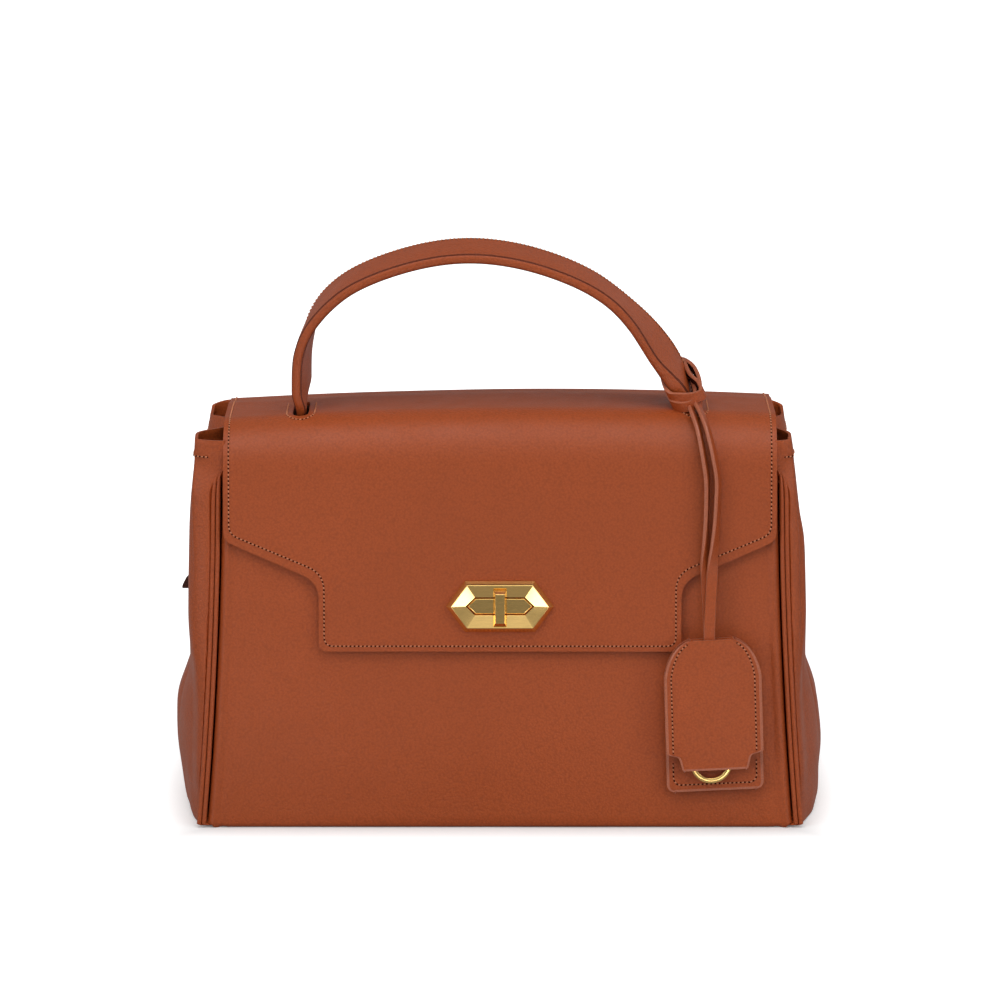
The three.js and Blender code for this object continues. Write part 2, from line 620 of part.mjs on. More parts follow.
function makeTag() {
  const back = new THREE.Shape();
  back.moveTo(TAG_X - TAG_HALF + TAG_CORNER, TAG_BOTTOM);
  back.lineTo(TAG_X + TAG_HALF - TAG_CORNER, TAG_BOTTOM);
  back.absarc(TAG_X + TAG_HALF - TAG_CORNER, TAG_BOTTOM + TAG_CORNER, TAG_CORNER, -Math.PI / 2, 0);
  leafTop(back);
  back.lineTo(TAG_X - TAG_HALF, TAG_BOTTOM + TAG_CORNER);
  back.absarc(TAG_X - TAG_HALF + TAG_CORNER, TAG_BOTTOM + TAG_CORNER, TAG_CORNER, Math.PI, Math.PI * 1.5);
  addPiece(frontFace, 'tag_back_leaf', 'leather', plate(back, TAG_SEAT, TAG_SEAT + TAG_LEAF));

  const front = new THREE.Shape();
  front.moveTo(TAG_X - FRONT_LEAF_HALF, FRONT_LEAF_BOTTOM);
  front.lineTo(TAG_X + FRONT_LEAF_HALF, FRONT_LEAF_BOTTOM);
  front.quadraticCurveTo(TAG_X + FRONT_LEAF_HALF, FRONT_LEAF_STEP, TAG_X + TAG_HALF, FRONT_LEAF_STEP);
  leafTop(front);
  front.lineTo(TAG_X - TAG_HALF, FRONT_LEAF_STEP);
  front.quadraticCurveTo(TAG_X - FRONT_LEAF_HALF, FRONT_LEAF_STEP, TAG_X - FRONT_LEAF_HALF, FRONT_LEAF_BOTTOM);
  addPiece(frontFace, 'tag_front_leaf', 'leather', plate(front, FRONT_LEAF_SEAT, FRONT_LEAF_SEAT + TAG_LEAF));

  const weltHeight = TAG_SHOULDER - FRONT_LEAF_STEP;
  const weltThick = FRONT_LEAF_SEAT - TAG_SEAT - TAG_LEAF - 2 * GAP;
  for (const [side, place] of [[-1, 'left'], [1, 'right']]) {
    const welt = addPiece(frontFace, `tag_welt_${place}`, 'edge', block(WELT_WIDTH, weltThick, weltHeight));
    welt.position.set(
      TAG_X + side * (TAG_HALF - WELT_WIDTH / 2), -RING_PLANE, FRONT_LEAF_STEP + weltHeight / 2,
    );
  }

  const ring = new THREE.TorusGeometry(RING_RADIUS, RING_WIRE, 8, 24).rotateX(Math.PI / 2);
  addPiece(frontFace, 'key_ring', 'brass', ring).position.set(TAG_X, -RING_PLANE, RING_LEVEL);
  makeStrap();
}

function makeStrap() {
  // One strip goes down behind the ring's wire, turns under it and comes back up in front.
  const turn = RING_WIRE + GAP + STRAP / 2;
  const top = STRAP_SWING_LEVEL - STRAP_START_DROP;
  const half = STRAP_HALF;
  const wireLevel = RING_LEVEL + Math.sqrt(RING_RADIUS ** 2 - half ** 2);
  const stations = [{ y: -RING_PLANE + turn, z: top, ny: 1, nz: 0, half }];
  const steps = 8;
  for (let step = 0; step <= steps; step += 1) {
    const angle = Math.PI * (step / steps);
    const [ny, nz] = [Math.cos(angle), -Math.sin(angle)];
    stations.push({ y: -RING_PLANE + turn * ny, z: wireLevel + turn * nz, ny, nz, half });
  }
  stations.push({ y: -RING_PLANE - turn, z: top, ny: -1, nz: 0, half });
  addPiece(frontFace, 'tag_strap', 'leather', ribbon(stations, -STRAP / 2, STRAP / 2, TAG_X));

  const bend = [...lowerBend(FRONT_RADIUS, half, STRAP_FOLD_ROOM), onFace(STRAP_SWING_LEVEL, half)];
  addPiece(frontFace, 'strap_bend', 'leather', ribbon(bend, GAP, GAP + 2 * STRAP, TAG_X));
  const lead = upperBend(FRONT_RADIUS, half, -1, STRAP_FOLD_ROOM);
  addPiece(bag, 'strap_lead', 'leather', ribbon(lead, GAP, GAP + 2 * STRAP, TAG_X));

  // The hitch is a band round the handle's right leg, square to the leg.
  const leg = handleStations(360).filter((station) => station.y < 0);
  const near = leg.reduce((best, station) => (
    Math.abs(station.z - HITCH.level) < Math.abs(best.z - HITCH.level) ? station : best
  ));
  const innerX = 2 * (HANDLE_HALF_THICK + HITCH.slack);
  const innerY = 2 * (HANDLE_HALF_WIDTH + HITCH.room);
  const band = roundedRectangle(innerX + 2 * HITCH.band, innerY + 2 * HITCH.band, HITCH.band);
  band.holes.push(roundedRectangle(innerX, innerY, GAP, 0, 0, THREE.Path));
  const hitch = addPiece(handleFrame, 'strap_hitch', 'leather', new THREE.ExtrudeGeometry(
    band, { depth: HITCH.height, bevelEnabled: false, curveSegments: 3 },
  ).translate(0, 0, -HITCH.height / 2));
  hitch.position.set(-near.y, 0, near.z);
  hitch.rotation.y = Math.atan2(-near.nz, -near.ny);
}

function makeDivider() {
  const pocketHalf = POCKET_WIDTH / 2;
  const low = BASE_STACK + GAP;
  const height = DIVIDER_TOP - low;
  for (const [side, place] of [[-1, 'front'], [1, 'back']]) {
    const leaf = addPiece(bag, `divider_${place}`, 'lining', block(2 * DIVIDER_HALF, DIVIDER_LEAF, height));
    leaf.position.set(0, FOLD_Y + side * (pocketHalf + DIVIDER_LEAF / 2), low + height / 2);
  }
  const tapeLevel = DIVIDER_TOP + GAP;
  const tape = addPiece(bag, 'zip_tape', 'lining', block(2 * DIVIDER_HALF, ZIP_TAPE.width, ZIP_TAPE.thickness));
  tape.position.set(0, FOLD_Y, tapeLevel + ZIP_TAPE.thickness / 2);
  const teethLevel = tapeLevel + ZIP_TAPE.thickness + GAP;
  const teeth = addPiece(bag, 'zip_teeth', 'brass', block(2 * ZIP_TEETH.half, ZIP_TEETH.width, ZIP_TEETH.height));
  teeth.position.set(0, FOLD_Y, teethLevel + ZIP_TEETH.height / 2);
  const sliderLevel = teethLevel + ZIP_TEETH.height + GAP;
  const slider = addPiece(bag, 'zip_slider', 'brass', block(ZIP_SLIDER.length, ZIP_SLIDER.width, ZIP_SLIDER.height));
  slider.position.set(ZIP_REST_X, FOLD_Y, sliderLevel + ZIP_SLIDER.height / 2);
  const pull = addPiece(bag, 'zip_pull', 'leather', block(ZIP_PULL.length, ZIP_PULL.width, ZIP_PULL.thickness));
  pull.position.set(
    ZIP_REST_X - ZIP_SLIDER.length / 2 - GAP - ZIP_PULL.length / 2, FOLD_Y, sliderLevel + ZIP_SLIDER.height / 2,
  );
}

makeShell();
makePiping();
makeGussets();
makeFlap();
makeHandle();
makeLock();
makeTag();
makeDivider();

export default bag;
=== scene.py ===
"""Looks of a structured leather top-handle bag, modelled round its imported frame.

Sizes are in millimetres. +X is the viewer's right, -Y the front and +Z up, as in the frame.
"""

import json
import logging
import math
from dataclasses import dataclass
from enum import Enum
from typing import Callable, Iterable, Sequence

import bpy
import numpy as np
from mathutils import Matrix, Vector, noise


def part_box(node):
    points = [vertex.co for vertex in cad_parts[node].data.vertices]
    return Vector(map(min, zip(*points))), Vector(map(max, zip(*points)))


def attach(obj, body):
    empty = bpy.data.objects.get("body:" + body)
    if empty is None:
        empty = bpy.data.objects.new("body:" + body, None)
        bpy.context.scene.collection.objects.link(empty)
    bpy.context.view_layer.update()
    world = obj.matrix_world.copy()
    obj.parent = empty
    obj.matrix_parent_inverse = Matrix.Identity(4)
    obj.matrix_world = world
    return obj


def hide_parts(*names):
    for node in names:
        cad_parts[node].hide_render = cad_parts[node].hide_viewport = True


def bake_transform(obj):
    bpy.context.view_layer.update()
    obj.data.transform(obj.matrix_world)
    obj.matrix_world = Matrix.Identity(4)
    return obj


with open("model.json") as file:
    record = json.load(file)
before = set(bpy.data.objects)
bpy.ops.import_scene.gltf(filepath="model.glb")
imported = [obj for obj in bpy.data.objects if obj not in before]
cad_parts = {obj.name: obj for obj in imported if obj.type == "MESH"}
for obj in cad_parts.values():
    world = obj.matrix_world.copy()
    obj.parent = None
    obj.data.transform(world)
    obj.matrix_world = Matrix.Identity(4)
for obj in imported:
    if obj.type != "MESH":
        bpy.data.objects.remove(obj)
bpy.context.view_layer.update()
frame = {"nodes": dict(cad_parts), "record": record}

LOG = logging.getLogger("bag")
MM = 0.001
SPLINE_STEPS = 24
WHITE = (1.0, 1.0, 1.0)
Node = bpy.types.Node
Socket = bpy.types.NodeSocket
Tree = bpy.types.NodeTree
Piece = bpy.types.Object
Material = bpy.types.Material
Inputs = dict[str | int, object]
Pair = tuple[float, float]
Pairs = Sequence[Pair]
Triple = tuple[float, float, float]
Points = Sequence[Triple]
Seam = Sequence[tuple[Vector, Vector]]


class Body(str, Enum):
    """Bodies of the frame that a piece can ride on."""

    BAG = "bag_body"
    FLAP_TOP = "flap_top"
    FLAP_FRONT = "flap_front"
    KNOB = "turn_knob"
    HANDLE = "handle"
    STRAP = "strap"
    RING = "ring"
    SHEATH = "tag_sheath"
    ZIP = "zip_runner"


class Slot(str, Enum):
    """Material slots of the record."""

    LEATHER = "leather"
    EDGE = "edge"
    LINING = "lining"
    BOARD = "board"
    BRASS = "brass"


@dataclass(frozen=True)
class Bend:
    """Two bodies that a piece bends between, with the points where the bend starts and ends."""

    first: Body
    second: Body
    start: Vector
    end: Vector


# Bends round the flap's back hinge and front hinge, and between the flap and the handle's right foot.
REAR_BEND = Bend(Body.BAG, Body.FLAP_TOP, Vector((0, 48.5, 191.0)), Vector((0, 33.0, 212.5)))
FRONT_BEND = Bend(Body.FLAP_TOP, Body.FLAP_FRONT, Vector((0, -30.0, 213.0)), Vector((0, -50.5, 188.0)))
HITCH_BEND = Bend(Body.FLAP_TOP, Body.HANDLE, Vector((0, -14.0, 214.0)), Vector((0, -14.0, 236.0)))


@dataclass(frozen=True)
class Station:
    """A place along a strip: its centre, the direction across it and the direction out of its face."""

    centre: Vector
    across: Vector
    out: Vector
    half: float = 0.0


def clamp(value: float) -> float:
    """Keeps a value between 0 and 1."""
    return min(max(value, 0.0), 1.0)


def smoothstep(value: float) -> float:
    """Eases a value from 0 to 1."""
    share = clamp(value)
    return share * share * (3 - 2 * share)


def quarter(value: float) -> float:
    """Rises from 0 to 1 as a quarter circle."""
    return math.sqrt(1 - (1 - clamp(value)) ** 2)


def bell(distance: float, width: float) -> float:
    """A rounded peak of 1 that falls away on both sides."""
    return math.exp(-((distance / width) ** 2))


def ramp(value: float, low: float, high: float) -> float:
    """Eases from 0 at a low value to 1 at a high one."""
    return smoothstep((value - low) / (high - low))


def lerp(first: float, second: float, share: float) -> float:
    """Mixes two numbers."""
    return first + (second - first) * share


def bow(first: float, bend: float, last: float, t: float) -> float:
    """Reads a curve that starts at one number, leans to a second and ends at a third."""
    return (1 - t) ** 2 * first + 2 * t * (1 - t) * bend + t**2 * last


def crowd(share: float) -> float:
    """Spreads 0 to 1 over -1 to 1, closer together at both ends."""
    return math.sin(math.pi / 2 * lerp(-1, 1, share))


def upwards(angle: float) -> Vector:
    """Direction across the bag's depth at an angle from the back, in radians."""
    return Vector((0, math.cos(angle), math.sin(angle)))


def spline_weights(t: float) -> tuple[float, ...]:
    """Weights of a smooth curve's start, first slope, end and last slope."""
    return 2 * t**3 - 3 * t**2 + 1, t**3 - 2 * t**2 + t, 3 * t**2 - 2 * t**3, t**3 - t**2


def smooth_table(points: Pairs, place: float) -> float:
    """Reads a smooth curve through a few points.

    Args:
        points: Places and values, in rising order of place.
        place: Where to read the curve.

    Returns:
        The curve's value, held beyond the first and last point.
    """
    last = len(points) - 1
    if place <= points[0][0]:
        return points[0][1]
    if place >= points[last][0]:
        return points[last][1]
    index = max(k for k in range(last) if points[k][0] <= place)

    def slope(k: int) -> float:
        """Slope of the curve at a point, from its two neighbours."""
        low, high = points[max(k - 1, 0)], points[min(k + 1, last)]
        return (high[1] - low[1]) / (high[0] - low[0])

    (start, value), (end, target) = points[index], points[index + 1]
    span = end - start
    here, leave, there, reach = spline_weights((place - start) / span)
    return here * value + leave * span * slope(index) + there * target + reach * span * slope(index + 1)


def smooth_path(points: Sequence[Vector], spacing: float) -> list[Vector]:
    """Rounds a list of points to a smooth line with even steps.

    Args:
        points: The points that the line passes.
        spacing: Length of a step.

    Returns:
        The points of the line.
    """
    knots = [points[0] * 2 - points[1], *points, points[-1] * 2 - points[-2]]
    dense: list[Vector] = []
    for before, start, end, after in zip(knots, knots[1:], knots[2:], knots[3:]):
        gaps = [max((b - a).length, 1e-6) ** 0.5 for a, b in ((before, start), (start, end), (end, after))]
        leave = (start - before) / gaps[0] - (end - before) / (gaps[0] + gaps[1]) + (end - start) / gaps[1]
        reach = (end - start) / gaps[1] - (after - start) / (gaps[1] + gaps[2]) + (after - end) / gaps[2]
        for step in range(SPLINE_STEPS):
            first, left, second, right = spline_weights(step / SPLINE_STEPS)
            dense.append(start * first + leave * gaps[1] * left + end * second + reach * gaps[1] * right)
    dense.append(points[-1].copy())
    return even_steps(dense, spacing)


def smooth_ring(points: Sequence[Vector], spacing: float) -> list[Vector]:
    """Rounds a closed list of points to a smooth ring with even steps.

    Args:
        points: The points that the ring passes.
        spacing: Length of a step.

    Returns:
        The points of the ring, without the first one again at its end.
    """
    line = smooth_path([*points[-3:], *points, *points[:4]], spacing / 4)
    middle = len(line) // 2
    start = min(range(middle), key=lambda k: (line[k] - points[0]).length)
    end = min(range(middle, len(line)), key=lambda k: (line[k] - points[0]).length)
    return even_steps(line[start:end + 1], spacing)[:-1]


def line_reach(points: Sequence[Vector]) -> list[float]:
    """Length of a line up to each of its points."""
    reach = [0.0]
    for first, second in zip(points, points[1:]):
        reach.append(reach[-1] + (second - first).length)
    return reach


def read_line(wanted: np.ndarray, reach: Sequence[float], values: Sequence[Vector]) -> list[Vector]:
    """Reads vectors along a line at the wanted lengths."""
    columns = [np.interp(wanted, reach, [value[axis] for value in values]) for axis in range(3)]
    return [Vector(row) for row in zip(*columns)]


def even_steps(points: Sequence[Vector], spacing: float) -> list[Vector]:
    """Places points at even steps of about a length along a line, with both ends kept."""
    reach = line_reach(points)
    count = max(1, round(reach[-1] / spacing))
    return read_line(np.linspace(0, reach[-1], count + 1), reach, points)


def line_directions(points: Sequence[Vector]) -> list[Vector]:
    """Gives the direction of a line at each of its points."""
    last = len(points) - 1
    return [(points[min(k + 1, last)] - points[max(k - 1, 0)]).normalized() for k in range(last + 1)]


def soft_section(wide: float, thick: float, flat: float, side: float) -> list[Pair]:
    """Lists the eight corners of a flat section with cut corners.

    Args:
        wide: Half width.
        thick: Half thickness.
        flat: Half width of its flat faces.
        side: Half height of its straight sides.

    Returns:
        The corners, as across and out.
    """
    lower = [(-wide, -side), (-flat, -thick), (flat, -thick), (wide, -side)]
    return [*lower, *((-across, -out) for across, out in lower)]


def corners(node: str) -> tuple[Vector, Vector]:
    """Lowest and highest corner of a node of the frame, in millimetres."""
    low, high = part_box(node)
    return low / MM, high / MM


def activate(piece: Piece) -> None:
    """Selects one object alone and makes it the active one."""
    bpy.ops.object.select_all(action="DESELECT")
    piece.select_set(True)
    bpy.context.view_layer.objects.active = piece


def edit(piece: Piece, *steps: Callable[[], object]) -> None:
    """Runs edit-mode operators on the whole of a piece.

    Args:
        piece: The piece to shape.
        steps: Operators without arguments, run in order.
    """
    activate(piece)
    bpy.ops.object.mode_set(mode="EDIT")
    bpy.ops.mesh.select_all(action="SELECT")
    for step in steps:
        step()
    bpy.ops.object.mode_set(mode="OBJECT")


def modify(piece: Piece, kind: str, **settings: object) -> None:
    """Adds a modifier to a piece and applies it.

    Args:
        piece: The piece to change.
        kind: Blender's name of the modifier.
        settings: Values of the modifier's properties.
    """
    modifier = piece.modifiers.new(kind.title(), kind)
    for key, value in settings.items():
        setattr(modifier, key, value)
    activate(piece)
    bpy.ops.object.modifier_apply(modifier=modifier.name)


def weld() -> None:
    """Merges points that lie on each other, in edit mode."""
    bpy.ops.mesh.remove_doubles(threshold=1e-6)


def close_ends() -> None:
    """Closes open ends and turns all faces outwards, in edit mode."""
    bpy.ops.mesh.select_all(action="SELECT")
    bpy.ops.mesh.fill_holes(sides=0)
    bpy.ops.mesh.select_all(action="SELECT")
    bpy.ops.mesh.normals_make_consistent(inside=False)


def loft(name: str, columns: int, rows: int, place: Callable[[int, int], Vector]) -> Piece:
    """Adds a grid and lays each of its points by a rule.

    Args:
        name: The piece's name.
        columns: Faces across the grid.
        rows: Faces along the grid.
        place: Gives the point, in millimetres, at a column and a row.

    Returns:
        The new piece.
    """
    bpy.ops.object.select_all(action="DESELECT")
    bpy.ops.mesh.primitive_grid_add(x_subdivisions=columns, y_subdivisions=rows, size=1.0)
    piece = bpy.context.active_object
    piece.name = piece.data.name = name
    for vertex in piece.data.vertices:
        column = round((vertex.co.x + 0.5) * columns)
        row = round((vertex.co.y + 0.5) * rows)
        vertex.co = place(column, row) * MM
    piece.data.update()
    return piece


def sweep(
    name: str, stations: Sequence[Station], section: Pairs, ring: bool = False, marked: Iterable[int] = (),
    backs: Iterable[int] = (),
) -> Piece:
    """Carries a closed section along a line.

    Args:
        name: The piece's name.
        stations: Places along the line.
        section: Points of the section, as across and out.
        ring: Whether the last station joins the first.
        marked: Numbers of the section's sides that take the second material.
        backs: Numbers of the section's sides that take the third material.

    Returns:
        The new closed piece.
    """
    count = len(section)

    def place(column: int, row: int) -> Vector:
        """Point of the section at a station."""
        station = stations[row % len(stations)]
        across, out = section[column % count]
        return station.centre + station.across * across + station.out * out

    rows = len(stations) if ring else len(stations) - 1
    piece = loft(name, count, rows, place)
    slots = {**dict.fromkeys(marked, 1), **dict.fromkeys(backs, 2)}
    for face in piece.data.polygons:
        face.material_index = slots.get(face.index % count, 0)
    edit(piece, weld, close_ends)
    return piece


def face_away(piece: Piece, inside: Vector) -> None:
    """Turns an open sheet so that its faces look away from a point inside, given in millimetres."""
    middle = inside * MM
    lean = sum((face.center - middle).dot(face.normal) * face.area for face in piece.data.polygons)
    if lean < 0:
        edit(piece, bpy.ops.mesh.flip_normals)


def thicken(piece: Piece, thickness: float, round_edge: float, rim_slot: int = 0) -> None:
    """Gives a sheet its thickness towards the inside and rounds its cut edges.

    Args:
        piece: An open sheet whose faces look outwards.
        thickness: Thickness in millimetres.
        round_edge: Radius of the edges in millimetres.
        rim_slot: Number of the material slot that the cut edge takes.
    """
    modify(
        piece, "SOLIDIFY", thickness=thickness * MM, offset=-1.0, material_offset_rim=rim_slot,
    )
    soften(piece, round_edge, rim_slot=rim_slot)


def soften(
    piece: Piece, radius: float, angle: float = 40.0, segments: int = 2, rim_slot: int = 0
) -> None:
    """Rounds the sharp edges of a piece and shades it smooth.

    Args:
        piece: The piece to finish.
        radius: Radius of the edges in millimetres.
        angle: Edges that turn more than this, in degrees, are rounded.
        segments: Faces across each rounded edge.
        rim_slot: Number of the material slot that the rounded edges take, or 0 for their own.
    """
    modify(
        piece, "BEVEL", width=radius * MM, segments=segments, limit_method="ANGLE",
        angle_limit=math.radians(angle), use_clamp_overlap=True, material=rim_slot or -1,
    )
    smooth(piece)


def smooth(piece: Piece, angle: float = 38.0) -> None:
    """Shades a piece smooth, except over edges that turn more than an angle in degrees."""
    activate(piece)
    bpy.ops.object.shade_smooth_by_angle(angle=math.radians(angle))


def panel(
    name: str, grid: tuple[int, int], place: Callable[[int, int], Vector], inside: Vector, thickness: float,
    round_edge: float, materials: Sequence[Material],
) -> Piece:
    """Makes a lofted sheet with its thickness, whose cut edge takes the last material.

    Args:
        name: The piece's name.
        grid: Faces across and along it.
        place: Gives the point of its outer face, in millimetres, at a column and a row.
        inside: A point behind it, in millimetres.
        thickness: Its thickness in millimetres.
        round_edge: Radius of its edges in millimetres.
        materials: Its materials.

    Returns:
        The new piece.
    """
    piece = loft(name, *grid, place)
    face_away(piece, inside)
    dress(piece, materials)
    thicken(piece, thickness, round_edge, len(materials) - 1)
    return piece


def add_block(name: str, size: Vector) -> Piece:
    """Adds a box round the origin, with its size in millimetres."""
    bpy.ops.object.select_all(action="DESELECT")
    bpy.ops.mesh.primitive_cube_add(size=1.0)
    block = bpy.context.active_object
    block.name = block.data.name = name
    block.scale = size * MM
    bpy.ops.object.transform_apply(location=False, rotation=False, scale=True)
    return block


def carve(piece: Piece, centre: Vector, size: Vector, corner: float, lean: float = 0.0) -> None:
    """Cuts a slot with rounded corners through a piece.

    Args:
        piece: The piece to cut.
        centre: Middle of the slot in millimetres.
        size: Lengths of the slot along X, Y and Z in millimetres.
        corner: Radius of its corners in millimetres.
        lean: Turn of the slot about X in radians.
    """
    cutter = add_block("cutter", size)
    modify(cutter, "BEVEL", width=corner * MM, segments=3, limit_method="ANGLE")
    cutter.rotation_euler.x = lean
    cutter.location = centre * MM
    activate(cutter)
    bpy.ops.object.transform_apply(location=True, rotation=True, scale=True)
    modify(piece, "BOOLEAN", operation="DIFFERENCE", solver="EXACT", object=cutter)
    bpy.data.objects.remove(cutter)


def dress(piece: Piece, materials: Sequence[Material]) -> None:
    """Adds materials to a piece."""
    for material in materials:
        piece.data.materials.append(material)


def settle(
    piece: Piece,
    place: Body | Bend,
    materials: Sequence[Material] = (),
    stands_for: Iterable[str] = (),
) -> Piece:
    """Dresses a piece, sets it on its body and reports it.

    Args:
        piece: The finished piece.
        place: The body that the piece rides on, or the two that it bends between.
        materials: Materials to give it, or none where it has them already.
        stands_for: Nodes of the frame that the piece replaces.

    Returns:
        The same piece.
    """
    if materials:
        faces = piece.data.polygons
        slots = [face.material_index for face in faces]
        piece.data.materials.clear()
        dress(piece, materials)
        faces.foreach_set("material_index", slots)
    if isinstance(place, Bend):
        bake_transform(piece)
    else:
        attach(piece, place.value)
    nodes = list(stands_for)
    if nodes:
        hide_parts(*nodes)
    LOG.info("%s: %d faces", piece.name, len(piece.data.polygons))
    return piece


class NodeBench:
    """Builds the nodes of a material, a node group or the world."""

    def __init__(self, tree: Tree) -> None:
        """Takes the tree that the nodes go in."""
        self.tree = tree

    def fill(self, node: Node, inputs: Inputs) -> None:
        """Gives a node's inputs, by name or number, their values or links them to sockets."""
        for key, value in inputs.items():
            socket = node.inputs[key]
            if isinstance(value, Socket):
                self.tree.links.new(value, socket)
            else:
                socket.default_value = value

    def add(self, kind: str, inputs: Inputs | None = None, **settings: object) -> Node:
        """Adds a node.

        Args:
            kind: Blender's name of the node's type.
            inputs: Values, or sockets of other nodes, for its inputs.
            settings: Values of the node's properties.

        Returns:
            The new node.
        """
        node = self.tree.nodes.new(kind)
        for key, value in settings.items():
            setattr(node, key, value)
        self.fill(node, inputs or {})
        return node

    def math(self, operation: str, first: object, second: object = 0.0) -> Socket:
        """Adds a Math node and returns its output."""
        return self.add("ShaderNodeMath", {0: first, 1: second}, operation=operation).outputs[0]

    def times(self, first: object, second: object) -> Socket:
        """Multiplies two values."""
        return self.math("MULTIPLY", first, second)

    def larger(self, first: object, second: object) -> Socket:
        """Takes the larger of two values."""
        return self.math("MAXIMUM", first, second)

    def mix(self, factor: object, first: object, second: object) -> Socket:
        """Adds a colour Mix node and returns its output."""
        return self.add("ShaderNodeMix", {0: factor, 6: first, 7: second}, data_type="RGBA").outputs[2]

    def tones(self, factor: object, colour: Triple, low: float, high: float) -> Socket:
        """Mixes a darker and a lighter shade of a colour."""
        return self.mix(factor, shade(colour, low), shade(colour, high))

    def spread(
        self, value: object, low: float, high: float, to_low: float = 0.0, to_high: float = 1.0
    ) -> Socket:
        """Adds a Map Range node and returns its output."""
        return self.add("ShaderNodeMapRange", {0: value, 1: low, 2: high, 3: to_low, 4: to_high}).outputs[0]

    def around(self, mask: object, middle: float, less: float, more: float) -> Socket:
        """Spreads a mask from a little below a value to a little above it."""
        return self.spread(mask, 0.0, 1.0, middle - less, middle + more)

    def seen(self, rays: Node) -> Socket:
        """1 where a surface is seen by the camera, through glass too."""
        return self.larger(rays.outputs["Is Camera Ray"], rays.outputs["Is Transmission Ray"])


class MaterialBench(NodeBench):
    """Builds a material round its Principled shader."""

    def __init__(self, name: str) -> None:
        """Makes the material."""
        self.material = bpy.data.materials.new(name)
        self.material.use_nodes = True
        super().__init__(self.material.node_tree)
        self.place = self.add("ShaderNodeTexCoord").outputs["Object"]

    def group(self, tree: Tree, **inputs: object) -> bpy.types.bpy_prop_collection:
        """Places a node group on the piece's own coordinates and returns its outputs."""
        return self.add("ShaderNodeGroup", {"Vector": self.place, **inputs}, node_tree=tree).outputs

    def finish(self, inputs: Inputs) -> Material:
        """Feeds the shader and returns the material."""
        self.fill(self.tree.nodes["Principled BSDF"], inputs)
        return self.material


def new_group(
    name: str, size: str, outputs: Sequence[str]
) -> tuple[NodeBench, Socket, Socket]:
    """Makes a shader node group that works on a place and a size.

    Args:
        name: The group's name.
        size: Name of its second input.
        outputs: Names of its outputs.

    Returns:
        A bench for its nodes, and the sockets of the place and the size.
    """
    tree = bpy.data.node_groups.new(name, "ShaderNodeTree")
    sockets = [("Vector", "INPUT", "NodeSocketVector"), (size, "INPUT", "NodeSocketFloat")]
    sockets += [(label, "OUTPUT", "NodeSocketFloat") for label in outputs]
    for label, way, kind in sockets:
        tree.interface.new_socket(name=label, in_out=way, socket_type=kind)
    bench = NodeBench(tree)
    entry = bench.add("NodeGroupInput")
    return bench, entry.outputs["Vector"], entry.outputs[size]


def make_grain_group() -> Tree:
    """Builds the fine grain of finished leather: a height, and a mask of its pores."""
    bench, place, cells = new_group("Leather grain", "Cells", ("Height", "Pores"))
    pits = bench.add("ShaderNodeTexVoronoi", {"Vector": place, "Scale": cells}, feature="SMOOTH_F1")
    fine = {"Vector": place, "Scale": bench.times(cells, 2.3), "Detail": 3.0}
    wrinkle = bench.times(bench.add("ShaderNodeTexNoise", fine).outputs[0], 0.5)
    height = bench.math("ADD", bench.times(pits.outputs["Distance"], 0.65), wrinkle)
    bench.add("NodeGroupOutput", {"Height": height, "Pores": bench.spread(height, 0.35, 0.75)})
    return bench.tree


def make_mottle_group() -> Tree:
    """Builds slow changes of colour and gloss over a hide: a mask from 0 to 1 and a fine cloud."""
    bench, place, size = new_group("Mottle", "Size", ("Cloud", "Fine"))
    layers = {
        "Cloud": {"Vector": place, "Scale": size, "Detail": 4.0, "Roughness": 0.55},
        "Fine": {"Vector": place, "Scale": bench.times(size, 9.0), "Detail": 2.0},
    }
    clouds = {label: bench.add("ShaderNodeTexNoise", inputs) for label, inputs in layers.items()}
    masks = {label: bench.spread(node.outputs[0], 0.3, 0.7) for label, node in clouds.items()}
    bench.add("NodeGroupOutput", masks)
    return bench.tree


def make_weave_group() -> Tree:
    """Builds a plain weave from two crossing sets of threads: a height and a mask of the gaps."""
    bench, place, threads = new_group("Weave", "Threads", ("Height", "Gaps"))
    turns = bench.times(threads, 2 * math.pi)
    parts = bench.add("ShaderNodeSeparateXYZ", {0: place}).outputs
    along = bench.times(parts["X"], turns)
    up = bench.times(bench.math("ADD", parts["Z"], parts["Y"]), turns)
    height = bench.math("ABSOLUTE", bench.times(bench.math("SINE", along), bench.math("SINE", up)))
    bench.add("NodeGroupOutput", {"Height": height, "Gaps": bench.spread(height, 0.0, 0.3, 1.0, 0.0)})
    return bench.tree


def shade(colour: Triple, amount: float = 1.0) -> tuple[float, ...]:
    """Makes a colour darker or lighter by a factor, and opaque."""
    return (*(min(1.0, part * amount) for part in colour), 1.0)


GRAIN = make_grain_group()
MOTTLE = make_mottle_group()
WEAVE = make_weave_group()


@dataclass(frozen=True)
class Finish:
    """A surface with a name and a colour."""

    name: str
    colour: Triple


